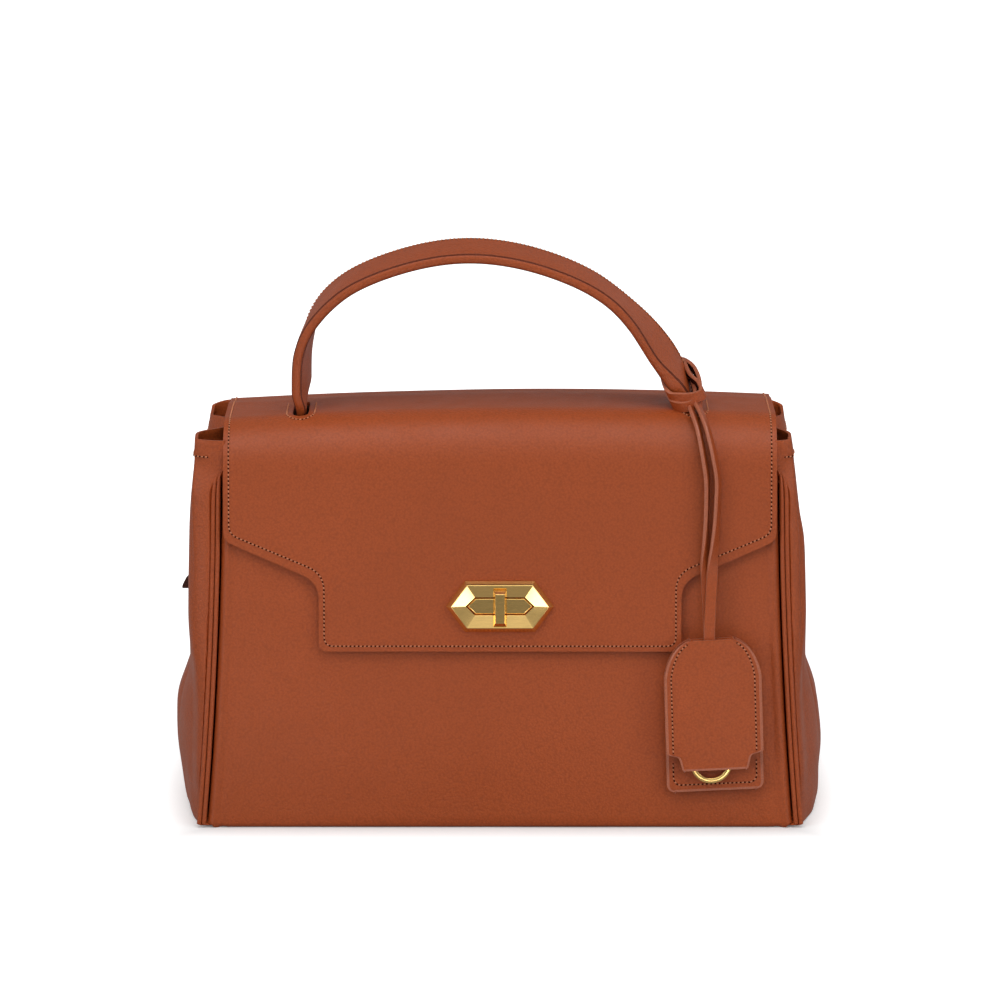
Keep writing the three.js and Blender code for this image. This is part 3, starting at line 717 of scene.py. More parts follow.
@dataclass(frozen=True)
class LeatherFinish(Finish):
    """Smooth satin leather with a fine grain."""

    roughness: float = 0.44
    cells: float = 950.0
    grain: float = 0.85
    cloud: float = 9.0
    shine: float = 0.36

    def material(self) -> Material:
        """Builds the material."""
        bench = MaterialBench(self.name)
        grain = bench.group(GRAIN, Cells=self.cells)
        mottle = bench.group(MOTTLE, Size=self.cloud)
        body = bench.tones(mottle["Cloud"], self.colour, 0.93, 1.06)
        pores = bench.times(grain["Pores"], 0.7)
        relief = {"Strength": self.grain, "Distance": 0.0003, "Height": grain["Height"]}
        return bench.finish({
            "Base Color": bench.mix(pores, body, shade(self.colour, 0.68)),
            "Roughness": bench.around(mottle["Fine"], self.roughness, 0.035, 0.045),
            "Normal": bench.add("ShaderNodeBump", relief, invert=True).outputs[0],
            "Specular IOR Level": self.shine,
        })


@dataclass(frozen=True)
class PaintFinish(Finish):
    """Edge paint, dark paint, or painted shade in needle holes, grooves and on strap backs: a matt coat with
    faint streaks.
    """

    roughness: float = 0.5
    shine: float = 0.5

    def material(self) -> Material:
        """Builds the material."""
        bench = MaterialBench(self.name)
        mottle = bench.group(MOTTLE, Size=160.0)
        return bench.finish({
            "Base Color": bench.tones(mottle["Fine"], self.colour, 0.84, 1.14),
            "Roughness": bench.around(mottle["Cloud"], self.roughness, 0.06, 0.06),
            "Specular IOR Level": self.shine,
        })


@dataclass(frozen=True)
class ThreadFinish(Finish):
    """Waxed sewing thread with a fine twist."""

    twist: float = 900.0

    def material(self) -> Material:
        """Builds the material."""
        bench = MaterialBench(self.name)
        wave = {"Vector": bench.place, "Scale": self.twist, "Distortion": 1.5}
        twist = bench.add("ShaderNodeTexWave", wave, bands_direction="DIAGONAL")
        colour = bench.tones(twist.outputs[1], self.colour, 0.72, 1.12)
        return bench.finish({"Base Color": colour, "Roughness": 0.55})


@dataclass(frozen=True)
class WovenFinish(Finish):
    """Matt woven lining or zip tape."""

    threads: float = 1400.0

    def material(self) -> Material:
        """Builds the material."""
        bench = MaterialBench(self.name)
        weave = bench.group(WEAVE, Threads=self.threads)
        mottle = bench.group(MOTTLE, Size=22.0)
        body = bench.tones(mottle["Cloud"], self.colour, 0.9, 1.1)
        relief = {"Strength": 0.4, "Distance": 0.0002, "Height": weave["Height"]}
        return bench.finish({
            "Base Color": bench.mix(weave["Gaps"], body, shade(self.colour, 0.45)),
            "Normal": bench.add("ShaderNodeBump", relief).outputs[0],
            "Roughness": 0.85,
            "Sheen Weight": 0.2,
        })


@dataclass(frozen=True)
class BoardFinish(Finish):
    """Pressed fibre board."""

    fibres: float = 240.0

    def material(self) -> Material:
        """Builds the material."""
        bench = MaterialBench(self.name)
        mottle = bench.group(MOTTLE, Size=self.fibres)
        colour = bench.tones(mottle["Fine"], self.colour, 0.7, 1.25)
        return bench.finish({"Base Color": colour, "Roughness": 0.9})


@dataclass(frozen=True)
class PlateFinish(Finish):
    """Polished gold plate with faint brushing and handling marks."""

    roughness: float = 0.14

    def material(self) -> Material:
        """Builds the material."""
        bench = MaterialBench(self.name)
        brushed = bench.add("ShaderNodeMapping", {"Vector": bench.place, "Scale": (1.0, 8.0, 8.0)})
        mottle = bench.group(MOTTLE, Vector=brushed.outputs[0], Size=120.0)
        return bench.finish({
            "Base Color": bench.tones(mottle["Cloud"], self.colour, 0.94, 1.05),
            "Roughness": bench.around(mottle["Fine"], self.roughness, 0.05, 0.07),
            "Metallic": 1.0,
        })


class Finishes:
    """The bag's materials, each built once."""

    def __init__(self) -> None:
        """Builds all the materials."""
        self.hide = LeatherFinish("Cognac leather", (0.415, 0.077, 0.0155)).material()
        # Inner leather, darkened beyond its own tone to stand for shade: painted shade on the handle's
        # creases and the anchor ends under the flap.
        self.shaded_inner_hide = LeatherFinish("Inner leather with painted shade", (0.17, 0.034, 0.012), roughness=0.55).material()
        self.edge = PaintFinish("Edge paint", (0.42, 0.122, 0.06), 0.36, 0.42).material()
        # Dark paint: the seam tab's own colour, and painted shade in the piping's groove and on the strap's
        # back.
        self.crease = PaintFinish("Dark paint and painted shade", (0.05, 0.013, 0.007), 0.6, 0.2).material()
        # Needle holes: painted shade, flat dark discs where the holes are.
        self.hole = PaintFinish("Needle hole shade", (0.035, 0.007, 0.003), 0.9, 0.05).material()
        self.thread = ThreadFinish("Sewing thread", (0.60, 0.21, 0.095)).material()
        self.cloth = WovenFinish("Lining cloth", (0.16, 0.07, 0.042)).material()
        self.tape = WovenFinish("Zip tape", (0.11, 0.042, 0.026), 1900.0).material()
        self.board = BoardFinish("Fibre board", (0.07, 0.045, 0.033)).material()
        self.plate = PlateFinish("Gold plate", (0.87, 0.57, 0.20)).material()


@dataclass(frozen=True)
class StitchGauge:
    """Sizes of a row of stitches."""

    pitch: float = 2.15
    length: float = 1.5
    radius: float = 0.4
    hole: float = 0.46
    hole_place: float = 0.86
    hole_lift: float = 0.05
    probe: float = 0.4
    slant: float = math.radians(16.0)


class Sewing:
    """Makes rows of stitches, each with its needle holes."""

    SIDES = 6
    RINGS = ((-0.5, 0.35, -0.22), (-0.3, 0.85, 0.05), (0.0, 1.0, 0.13), (0.3, 0.85, 0.05), (0.5, 0.35, -0.22))

    def __init__(self, finishes: Finishes, gauge: StitchGauge = StitchGauge()) -> None:
        """Takes the materials and the stitches' sizes."""
        self.finishes = finishes
        self.gauge = gauge

    def sew(self, name: str, lines: Sequence[Seam], place: Body | Bend) -> Piece:
        """Makes one seam.

        Args:
            name: The seam's name.
            lines: Lines of the seam, each a list of points on the leather and directions out of it.
            place: What the seam rides on or bends between.

        Returns:
            The seam as one piece.
        """
        points: list[Vector] = []
        faces: list[tuple[int, ...]] = []
        marks: list[int] = []
        for line in lines:
            for centre, along, out in self._steps(line):
                self._add_stitch(centre, along, out, points, faces, marks)
        mesh = bpy.data.meshes.new(name)
        mesh.from_pydata([point * MM for point in points], [], faces)
        piece = bpy.data.objects.new(name, mesh)
        dress(piece, [self.finishes.thread, self.finishes.hole])
        mesh.polygons.foreach_set("material_index", marks)
        mesh.update()
        bpy.context.scene.collection.objects.link(piece)
        smooth(piece, 60.0)
        return settle(piece, place)

    def _steps(self, line: Seam) -> list[tuple[Vector, Vector, Vector]]:
        """Spaces the stitches of a line evenly: middle, direction and outward direction of each."""
        spots = [point for point, _ in line]
        reach = line_reach(spots)
        count = max(1, round(reach[-1] / self.gauge.pitch))
        wanted = (np.arange(count) + 0.5) * reach[-1] / count
        ends = read_line(wanted + self.gauge.probe, reach, spots)
        starts = read_line(wanted - self.gauge.probe, reach, spots)
        ways = [(end - start).normalized() for start, end in zip(starts, ends)]
        outs = [out.normalized() for out in read_line(wanted, reach, [out for _, out in line])]
        return list(zip(read_line(wanted, reach, spots), ways, outs))

    def _circle(self, middle: Vector, first: Vector, second: Vector, radius: float) -> list[Vector]:
        """Corners of a circle round a point, in the plane of two directions."""
        turns = [2 * math.pi * k / self.SIDES for k in range(self.SIDES)]
        return [
            middle + first * (radius * math.cos(turn)) + second * (radius * math.sin(turn)) for turn in turns
        ]

    def _add_stitch(
        self, centre: Vector, along: Vector, out: Vector, points: list[Vector], faces: list[tuple[int, ...]],
        marks: list[int],
    ) -> None:
        """Adds one stitch and its two needle holes to the lists of a mesh."""
        gauge = self.gauge
        side = out.cross(along).normalized()
        thread = (along * math.cos(gauge.slant) + side * math.sin(gauge.slant)).normalized()
        across = out.cross(thread).normalized()
        first = len(points)
        for share, girth, lift in self.RINGS:
            middle = centre + thread * (share * gauge.length) + out * lift
            points.extend(self._circle(middle, across, out, gauge.radius * girth))
        last = first + (len(self.RINGS) - 1) * self.SIDES
        for here in range(first, last, self.SIDES):
            for k in range(self.SIDES):
                turn = (k + 1) % self.SIDES
                faces.append((here + k, here + self.SIDES + k, here + self.SIDES + turn, here + turn))
        faces.append(tuple(range(first, first + self.SIDES)))
        faces.append(tuple(reversed(range(last, last + self.SIDES))))
        marks.extend([0] * (last - first + 2))
        # Each needle hole is a flat dark disc on the leather: painted shade in the hole.
        for end in (-0.5, 0.5):
            base = len(points)
            middle = centre + along * (end * gauge.pitch * gauge.hole_place) + out * gauge.hole_lift
            points.extend(self._circle(middle, along, side, gauge.hole))
            faces.append(tuple(range(base, base + self.SIDES)))
            marks.append(1)


@dataclass
class Form:
    """Driving sizes of the bag and the leaning faces that they define."""

    base_depth: float = 140.0
    top_depth: float = 96.0
    panel_height: float = 188.0
    half_base: float = 152.5
    half_waist: float = 144.2
    half_top: float = 143.8
    leather: float = 1.8
    base_roll: float = 2.6
    piping: float = 5.0
    gap: float = 0.3
    flap_top: float = 211.0
    flap_out: float = 3.7
    flap_half: float = 143.2
    front_radius: float = 24.0
    rear_radius: float = 20.0

    @property
    def lean(self) -> float:
        """Lean of the front and back faces, in radians."""
        return math.asin((self.base_depth - self.top_depth) / 2 / self.panel_height)

    def panel_half(self, level: float) -> float:
        """Half width of the front and back panels at a level along the panel."""
        return bow(self.half_base, self.half_waist, self.half_top, clamp(level / self.panel_height))

    def on_face(self, x: float, level: float, out: float, side: int = -1) -> Vector:
        """Gives a point by its place on a leaning face.

        Args:
            x: Place across the bag.
            level: Height along the face.
            out: Distance out of the face.
            side: -1 for the front face, 1 for the back face.

        Returns:
            The point in the bag's frame.
        """
        sine, cosine = math.sin(self.lean), math.cos(self.lean)
        depth = self.base_depth / 2 - level * sine + out * cosine
        return Vector((x, side * depth, level * cosine + out * sine))

    def face_out(self, side: int = -1) -> Vector:
        """Direction out of a leaning face."""
        return Vector((0.0, side * math.cos(self.lean), math.sin(self.lean)))

    def fold_centre(self, radius: float, side: int) -> Vector:
        """Centre of the flap's bend over a face's top edge, in the YZ plane."""
        sine, cosine = math.sin(self.lean), math.cos(self.lean)
        level = (self.flap_top - radius - (self.flap_out - radius) * sine) / cosine
        return self.on_face(0.0, level, self.flap_out - radius, side)

    def fold_level(self, radius: float, side: int) -> float:
        """Level along a face where the flap's bend meets it."""
        centre = self.fold_centre(radius, side)
        level = (centre.z + radius * math.sin(self.lean)) / math.cos(self.lean)
        return level - self.flap_out * math.tan(self.lean)


@dataclass(frozen=True)
class Row:
    """One row of a lofted sheet: a point, its outward direction, a half width and a share for its shape."""

    point: Vector
    out: Vector
    half: float
    level: float
    share: float = 0.0

    def at(self, x: float, rise: float) -> Vector:
        """Point of the row at a place across the bag, risen out of it."""
        return Vector((x, self.point.y, self.point.z)) + self.out * rise

    def mirrored(self) -> "Row":
        """The same row at the back of the bag."""
        back = Vector((1, -1, 1))
        return Row(self.point * back, self.out * back, self.half, self.level, 1.0)


def cut_size(rows: Sequence[Row], trim: float) -> tuple[Pair, float]:
    """Size that a sheet on some rows is cut to before it is sewn in.

    Args:
        rows: Rows of the sheet, in order.
        trim: How far its side edges stay inside the rows' ends.

    Returns:
        The width and length of the flat cut, and its area, in metres.
    """
    length, area = 0.0, 0.0
    for first, second in zip(rows, rows[1:]):
        step = (second.point - first.point).length
        length += step
        area += step * (first.half + second.half - 2 * trim)
    width = 2 * (max(row.half for row in rows) - trim)
    return (width * MM, length * MM), area * MM**2


@dataclass
class Shell:
    """The front, base and back of the bag as one lofted wrap, with piped side seams."""

    form: Form
    finishes: Finishes
    columns: int = 72
    sag: float = 2.0
    sag_height: float = 92.0
    edge_roll: float = 1.6
    edge_width: float = 2.6
    bead: float = 0.75
    bead_inset: float = 3.0
    groove_inset: float = 6.2
    piping_top: float = 187.0
    piping_nose: float = 17.0
    window: Pair = (15.0, 33.5)
    lining_window: Pair = (25.0, 46.5)
    window_depth: float = 14.0
    window_corner: float = 1.5
    window_level: float = 120.25
    lining_inset: float = 7.0
    lining_depth: float = 2.9
    lining_floor: float = 5.4
    lining_roll: float = 3.0
    lining: float = 0.8
    face_steps: int = 46
    turn_steps: int = 9
    base_steps: int = 5
    base_shrink: float = 1.6

    def rows(self, top: float, inset: float, floor: float, roll: float) -> list[Row]:
        """Lists the rows of a wrap from the front's top edge round the base to the back's top edge.

        Args:
            top: Level of the top edges.
            inset: Distance of the wrap inside the leather's outer surface.
            floor: Height of its base.
            roll: Radius of its lower edges.

        Returns:
            The rows.
        """
        form = self.form
        low = (floor + roll + (inset + roll) * math.sin(form.lean)) / math.cos(form.lean)
        front: list[Row] = []
        for step in range(self.face_steps + 1):
            level = lerp(top, low, step / self.face_steps)
            front.append(Row(form.on_face(0, level, -inset), form.face_out(), form.panel_half(level), level))
        centre = form.on_face(0, low, -inset - roll)
        for step in range(1, self.turn_steps + 1):
            share = step / self.turn_steps
            out = upwards(lerp(math.pi - form.lean, 1.5 * math.pi, share))
            half = form.panel_half(0) - self.base_shrink * smoothstep(share)
            front.append(Row(centre + out * roll, out, half, 0.0))
        for step in range(1, self.base_steps + 1):
            point = Vector((0, lerp(centre.y, 0, step / self.base_steps), floor))
            front.append(Row(point, Vector((0, 0, -1)), front[-1].half, 0.0))
        return [*front, *(row.mirrored() for row in reversed(front[:-1]))]

    def swell(self, x: float, row: Row) -> float:
        """How far the leather stands out of its flat face: a soft sag, slow waves and a turned edge."""
        across = x / row.half
        edge = row.half - abs(x)
        turned = self.edge_roll * max(0.0, 1 - edge / self.edge_width) ** 2
        turned -= self.bead * bell(edge - self.bead_inset, 1.3)
        turned += self.bead * 0.8 * bell(edge - self.groove_inset, 1.0)
        lying = abs(row.out.z) > 0.5
        if lying:
            return -turned
        hang = max(0.0, math.sin(math.pi * min(row.level, self.sag_height) / self.sag_height))
        waves = noise.noise(Vector((x * 0.011, row.level * 0.014, 3.0 + row.share * 7.0)))
        calm = 0.55 if row.level < self.sag_height else 0.12
        return self.sag * hang * (1 - across**2) ** 2 + calm * waves * (1 - across**4) - turned

    def sheet(
        self, name: str, rows: Sequence[Row], trim: float, thickness: float, shaped: bool
    ) -> Piece:
        """Makes a wrap with its thickness and the opening behind the lock.

        Args:
            name: The piece's name.
            rows: Rows of the wrap.
            trim: How far its side edges stay inside the leather's.
            thickness: Its thickness.
            shaped: Whether it is the leather, with its sag and turned edges, and not the lining.

        Returns:
            The new piece.
        """
        def place(column: int, index: int) -> Vector:
            """Point of the wrap."""
            row = rows[index]
            x = (row.half - trim) * crowd(column / self.columns)
            return row.at(x, self.swell(x, row) if shaped else 0.0)

        piece = loft(name, self.columns, len(rows) - 1, place)
        face_away(piece, Vector((0, 0, 90)))
        modify(piece, "SOLIDIFY", thickness=thickness * MM, offset=-1.0, use_even_offset=True)
        width, height = self.window if shaped else self.lining_window
        opening = self.form.on_face(0, self.window_level, -1.0)
        carve(piece, opening, Vector((width, self.window_depth, height)), self.window_corner, -self.form.lean)
        return piece

    def build(self) -> None:
        """Makes the leather wrap, its lining and its piping."""
        form, finishes = self.form, self.finishes
        outer = self.rows(form.panel_height, 0.0, 0.0, form.base_roll)
        wrap = self.sheet("shell_wrap", outer, 0.0, form.leather, True)
        soften(wrap, 0.4)
        settle(wrap, Body.BAG, [finishes.hide], ["front_panel", "base_panel", "back_panel"])
        top = form.panel_height - self.lining_inset
        inner = self.rows(top, self.lining_depth, self.lining_floor, self.lining_roll)
        lining = self.sheet("lining_wrap", inner, self.lining_inset, self.lining, False)
        smooth(lining)
        covered = ["lining_front", "lining_base", "lining_back"]
        settle(lining, Body.BAG, [finishes.cloth], covered)
        flat, area = cut_size(inner, self.lining_inset)
        self.build_piping()

    def piping_section(self) -> list[Pair]:
        """Section of the piping: two thin cords side by side with a narrow groove between them."""
        half = self.form.piping / 4
        turns = [math.radians(angle) for angle in (200, 165, 130, 95, 60, 28)]
        arc = [(half * math.cos(turn), half * math.sin(turn) + 0.7) for turn in turns]
        left = [(across - half, out) for across, out in arc]
        right = [(half - across, out) for across, out in reversed(arc)]
        foot = half * 1.5
        return [*left, (0.0, 0.75), *right, (foot, -half * 1.6), (-foot, -half * 1.6)]

    def build_piping(self) -> None:
        """Makes the piping along each side seam, from a nose at the panel's top round the base's roll."""
        form = self.form
        rows = self.rows(self.piping_top, 0.0, 0.0, form.base_roll)
        half_count = len(rows) // 2
        radius = form.piping / 2
        for place, part in (("front", rows[:half_count - 2]), ("back", rows[:half_count + 2:-1])):
            for side, label in ((-1, "left"), (1, "right")):
                stations = []
                for row in part:
                    tuck = smoothstep(-row.out.z)
                    girth = lerp(0.12, 1.0, quarter((self.piping_top - row.level) / self.piping_nose))
                    x = side * (row.half + form.gap + 0.5 + radius * girth - 2.2 * tuck)
                    point = row.at(x, -lerp(form.leather / 2, radius + 0.2, tuck))
                    stations.append(Station(point, Vector((girth, 0, 0)), row.out * girth))
                name = f"piping_{place}_{label}"
                # The two sides in the groove between the cords take the dark paint: painted shade in the
                # groove.
                piece = sweep(f"{name}_cord", stations, self.piping_section(), marked=(5, 6))
                smooth(piece, 50.0)
                settle(piece, Body.BAG, [self.finishes.hide, self.finishes.crease], [name])


@dataclass
class Gusset:
    """One bellows side: two lobes above that run into one belly below, with a hem along the top."""

    form: Form
    finishes: Finishes
    side: int
    belly: Pairs
    front_lobe: Pairs
    rear_lobe: Pairs
    creases: Sequence[tuple[float, float, float, float, float, float]]
    fold: Pairs = ((60.0, 8.0), (110.0, 2.0), (200.0, -5.0))
    fold_y: float = -2.0
    merge: Pair = (52.0, 112.0)
    hem: Pairs = (
        (0.0, 201.5), (0.12, 202.6), (0.5, 202.6), (0.78, 200.4), (0.9, 199.8), (0.97, 202.6), (1.0, 204.6),
    )
    hem_depth: float = 9.4
    hem_step: float = 0.4
    bulge: float = 5.6
    pinch: Pair = (130.0, 190.0)
    tuck: float = 7.5
    tuck_heights: Pair = (174.0, 188.0)
    thickness: float = 1.6
    floor_gap: float = 0.8
    columns: int = 96
    rows: int = 100
    under_rows: int = 6

    @property
    def label(self) -> str:
        """Which side of the bag it is on."""
        return "left" if self.side < 0 else "right"

    def swell(self, share: float, height: float) -> float:
        """How far the wall stands out of its seams at a place round it and a height."""
        lower = smooth_table(self.belly, height) * max(0.0, math.sin(math.pi * share)) ** 0.6
        closed = ramp(height, *self.pinch)
        turn, hold = lerp(0.1, 0.05, closed), lerp(0.15, 0.11, closed)
        front = quarter(share / turn) * (1 - smoothstep((share - hold) / lerp(0.36, 0.28, closed)))
        rear = quarter((1 - share) / turn) * (1 - smoothstep((1 - hold - share) / lerp(0.36, 0.3, closed)))
        middle = smoothstep(min(share, 1 - share) / 0.3) * max(0.0, 1 - front - rear)
        upper = smooth_table(self.front_lobe, height) * front + smooth_table(self.rear_lobe, height) * rear
        upper += smooth_table(self.fold, height) * middle
        return lerp(lower, upper, ramp(height, *self.merge))

    def plain_point(self, share: float, height: float, spread: float = 1.0) -> Vector:
        """Gives a point on the wall before its creases.

        Args:
            share: Place round the wall, 0 at the front seam and 1 at the back seam.
            height: Height above the floor.
            spread: How far the wall stands out, 1 at its full size and less below the base.

        Returns:
            The point.
        """
        form = self.form
        level = min(height / math.cos(form.lean), form.panel_height)
        seam_x = form.panel_half(level) + form.gap + form.piping / 2
        seam_y = form.base_depth / 2 - level * math.sin(form.lean) - form.piping / 2 - 2.0
        edge = min(share, 1 - share)
        drawn = ramp(height, *self.tuck_heights)
        tucked = self.tuck * drawn * (1 - quarter(edge / 0.05))
        y = lerp(-seam_y if share <= 0.5 else seam_y, self.fold_y, edge * 2)
        out = self.swell(clamp(share), height) * spread - tucked - lerp(4.0, 0.0, spread)
        full = smoothstep((out + self.tuck * drawn - 1.0) / 2.8) * smoothstep((height - 8.0) / 24.0)
        full *= (1 - smoothstep((edge - 0.04) / 0.06)) * (1 - 0.25 * drawn)
        y += math.copysign(self.bulge * full, share - 0.5)
        return Vector((self.side * (seam_x + out), y, height))

    def point(self, share: float, height: float, spread: float = 1.0) -> tuple[Vector, Vector]:
        """Gives a point on the finished wall and the direction out of it."""
        here = self.plain_point(share, height, spread)
        ahead, behind = (self.plain_point(share + step, height, spread) for step in (0.004, -0.004))
        up = self.plain_point(share, height + 0.4, spread) - here
        out = (ahead - behind).cross(up).normalized() * self.side
        edge = min(share, 1 - share)
        band = smoothstep(height - self.hem_height(share) + self.hem_depth + 0.8)
        waves = 0.8 * noise.noise(Vector((share * 6.0, height * 0.017, 11.0 + self.side)))
        lift = waves * smoothstep(edge / 0.08) + self.hem_step * band
        lift -= self.crease(share, height) * smoothstep(edge / 0.012)
        return here + out * (lift * spread), out

    def crease(self, share: float, height: float) -> float:
        """Depth of the soft creases at a place on the wall."""
        depth = 0.0
        for middle, middle_z, length, lean, dent, width in self.creases:
            along = (height - middle_z) / length
            depth += dent * bell(share - middle - lean * along, width) * math.exp(-(along**2) * 2.0)
        return depth

    def hem_height(self, share: float) -> float:
        """Height of the hem round the wall."""
        return smooth_table(self.hem, share)

    def build(self, sewing: Sewing) -> None:
        """Makes the wall and the stitches of its hem."""
        upright = self.rows - self.under_rows

        def place(column: int, row: int) -> Vector:
            """Point of the wall, with its first rows turned under the base."""
            share = 0.5 - 0.5 * math.cos(math.pi * column / self.columns)
            if row < self.under_rows:
                return self.point(share, self.floor_gap, math.sin(math.pi / 2 * row / self.under_rows))[0]
            climb = ((row - self.under_rows) / upright) ** 1.2
            return self.point(share, lerp(self.floor_gap, self.hem_height(share), climb))[0]

        name, grid, inside = f"gusset_{self.label}", (self.columns, self.rows), Vector((0, 0, 100))
        wall = panel(f"{name}_wall", grid, place, inside, self.thickness, 0.45, [self.finishes.hide])
        settle(wall, Body.BAG, (), [name])
        shares = [0.5 - 0.5 * math.cos(math.pi * step / 120) for step in range(8, 113)]
        line = [self.point(share, self.hem_height(share) - self.hem_depth + 0.6) for share in shares]
        sewing.sew(f"{name}_hem_stitch", [line], Body.BAG)


@dataclass
class SeamTab:
    """The small dark ribbed tab that is sewn into the left fold."""

    finishes: Finishes
    ribs: int = 4
    rib_depth: float = 0.3
    tip: float = 2.4
    slant: float = 0.5

    def build(self) -> None:
        """Makes the tab in the place that the frame gives it, with its outer end slanting down."""
        low, high = corners("seam_tab")
        middle, size = (low + high) / 2, high - low
        steps = 24
        stations = []
        for step in range(steps + 1):
            share = step / steps
            rib = self.rib_depth * math.cos(2 * math.pi * self.ribs * share)
            shift = self.slant * size.z * share + self.tip * (2 * share - 1) ** 4 * 0.3
            centre = Vector((middle.x + shift, middle.y, lerp(low.z, high.z, share)))
            stations.append(Station(centre, Vector((1, 0, 0)), Vector((0, 1 + rib / size.y, 0))))
        across, out = size.x / 2 - self.tip / 2, size.y / 2 - self.rib_depth / 2
        tab = sweep("fold_tab", stations, soft_section(across, out, across * 0.95, out * 0.5))
        smooth(tab, 50.0)
        settle(tab, Body.BAG, [self.finishes.crease], ["seam_tab"])


@dataclass
class Flap:
    """The flap: one sheet from the back panel over the top and down the front, cut to a stepped tongue."""

    form: Form
    finishes: Finishes
    leather: float = 1.8
    lining: float = 1.0
    lining_inset: float = 1.5
    root_level: float = 150.0
    shoulder_level: float = 151.0
    tongue_half: float = 94.0
    tongue_shoulder: float = 129.4
    tongue_level: float = 93.2
    corner: float = 5.0
    fillet: float = 9.0
    split_y: float = 20.0
    crown: float = 4.4
    crown_lean: float = 1.3
    columns: int = 80
    stitch_inset: float = 2.8
    slot_y: float = -16.0
    slot_x: Pair = (-103.7, 97.0)
    slot_size: Pair = (8.2, 33.6)
    rear_drop: float = 2.4
    slot_stitch: float = 3.2
    slot_aside: Pair = (0.0, 4.0)

    def outline(self, inset: float) -> list[Pair]:
        """Lists half widths and levels of the front's outline, from its straight sides to its lower edge.

        Args:
            inset: How far the line stays inside the cut edge.

        Returns:
            Half width and level of each row.
        """
        slope = (self.shoulder_level - self.tongue_shoulder) / (self.form.flap_half - self.tongue_half)
        norm = math.hypot(1, slope)
        outer, tongue = self.form.flap_half - inset, self.tongue_half - inset
        bottom = self.tongue_level + inset
        shoulder = self.shoulder_level + inset * 1.25
        waist = self.tongue_shoulder + inset * 1.55
        corner, fillet = self.corner, self.fillet
        upper = (outer - corner / norm, shoulder - corner / norm * slope)
        lower = (tongue + fillet / norm, waist + fillet / norm * slope)

        def curve(start: Pair, bend: Pair, end: Pair) -> Pairs:
            """Points of a rounded corner."""
            return [tuple(bow(*ends, step / 8) for ends in zip(start, bend, end)) for step in range(9)]

        def straight(start: Pair, end: Pair, steps: int) -> Pairs:
            """Points between the ends of a straight side."""
            return [tuple(lerp(*ends, step / steps) for ends in zip(start, end)) for step in range(1, steps)]

        return [
            *curve((outer, shoulder + corner), (outer, shoulder), upper),
            *straight(upper, lower, 10),
            *curve(lower, (tongue, waist), (tongue, waist - fillet)),
            *straight((tongue, waist - fillet), (tongue, bottom + corner), 8),
            *curve((tongue, bottom + corner), (tongue, bottom), (tongue - corner, bottom)),
        ]

    def rows(self, inset: float) -> list[Row]:
        """Lists all rows of the flap from its sewn root at the back to its lower front edge.

        Args:
            inset: How far the side edges stay inside the leather's.

        Returns:
            The rows, each with the share of the top's crown that it has.
        """
        form = self.form
        half = form.flap_half - inset
        rows: list[Row] = []
        rear = form.fold_centre(form.rear_radius, 1)
        front = form.fold_centre(form.front_radius, -1)

        def on_face(side: int, width: float, level: float) -> None:
            """Adds a row on the front or the back."""
            rows.append(Row(form.on_face(0, level, form.flap_out, side), form.face_out(side), width, level))

        for step in range(10):
            on_face(1, half, lerp(self.root_level + inset, form.fold_level(form.rear_radius, 1), step / 10))
        steps = 14
        for step in range(steps + 1):
            out = upwards(lerp(form.lean, math.pi / 2, step / steps))
            rows.append(Row(rear + out * form.rear_radius, out, half, 0.0, smoothstep(step / steps)))
        steps = 16
        for step in range(1, steps):
            point = Vector((0, lerp(rear.y, front.y, step / steps), form.flap_top))
            rows.append(Row(point, Vector((0, 0, 1)), half, 0.0, 1.0))
        steps = 20
        for step in range(steps + 1):
            out = upwards(lerp(math.pi / 2, form.lean, step / steps)) * Vector((1, -1, 1))
            rows.append(Row(front + out * form.front_radius, out, half, 0.0, 1 - smoothstep(step / steps)))
        outline = self.outline(inset)
        for step in range(1, 8):
            on_face(-1, half, lerp(form.fold_level(form.front_radius, -1), outline[0][1], step / 8))
        for width, level in outline:
            on_face(-1, width, level)
        return rows

    def surface(self, x: float, row: Row, depth: float = 0.0) -> Vector:
        """Point on the sheet, a depth below its outer face, with the crown of the top and a slow wave."""
        across = x / self.form.flap_half
        crown = self.crown * (1 - 0.91 * across**2) + self.crown_lean * across
        wave = 0.25 * noise.noise(Vector((x * 0.012, row.point.y * 0.02, row.point.z * 0.016)))
        drop = self.rear_drop * smoothstep((row.point.y - 6.0) / 25.0)
        return row.at(x, (crown - drop) * row.share + wave * (1 - across**4) - depth)

    def split(self, rows: Sequence[Row]) -> tuple[Sequence[Row], Sequence[Row]]:
        """Splits rows, a row of the flat top shared, to those of the rear piece and the front piece."""
        flat = [k for k in range(len(rows)) if rows[k].share >= 1]
        cut = min(flat, key=lambda k: abs(rows[k].point.y - self.split_y))
        return rows[:cut + 1], rows[cut:]

    def sheet(self, name: str, rows: Sequence[Row], depth: float) -> Piece:
        """Lays one piece of the flap, a depth below the outer face."""
        def place(column: int, index: int) -> Vector:
            """Point of the sheet."""
            row = rows[index]
            return self.surface(row.half * crowd(column / self.columns), row, depth)

        piece = loft(name, self.columns, len(rows) - 1, place)
        face_away(piece, Vector((0, 0, 120)))
        return piece

    def build(self, sewing: Sewing) -> None:
        """Makes the leather, the lining and the stitches of the flap."""
        hide, cloth = [self.finishes.hide, self.finishes.edge], [self.finishes.cloth]
        self.build_layer(Slot.LEATHER, 0.0, 0.0, self.leather, 0.75, hide)
        below = self.leather + self.form.gap
        self.build_layer(Slot.LINING, self.lining_inset, below, self.lining, 0.2, cloth)
        self.sew(sewing)

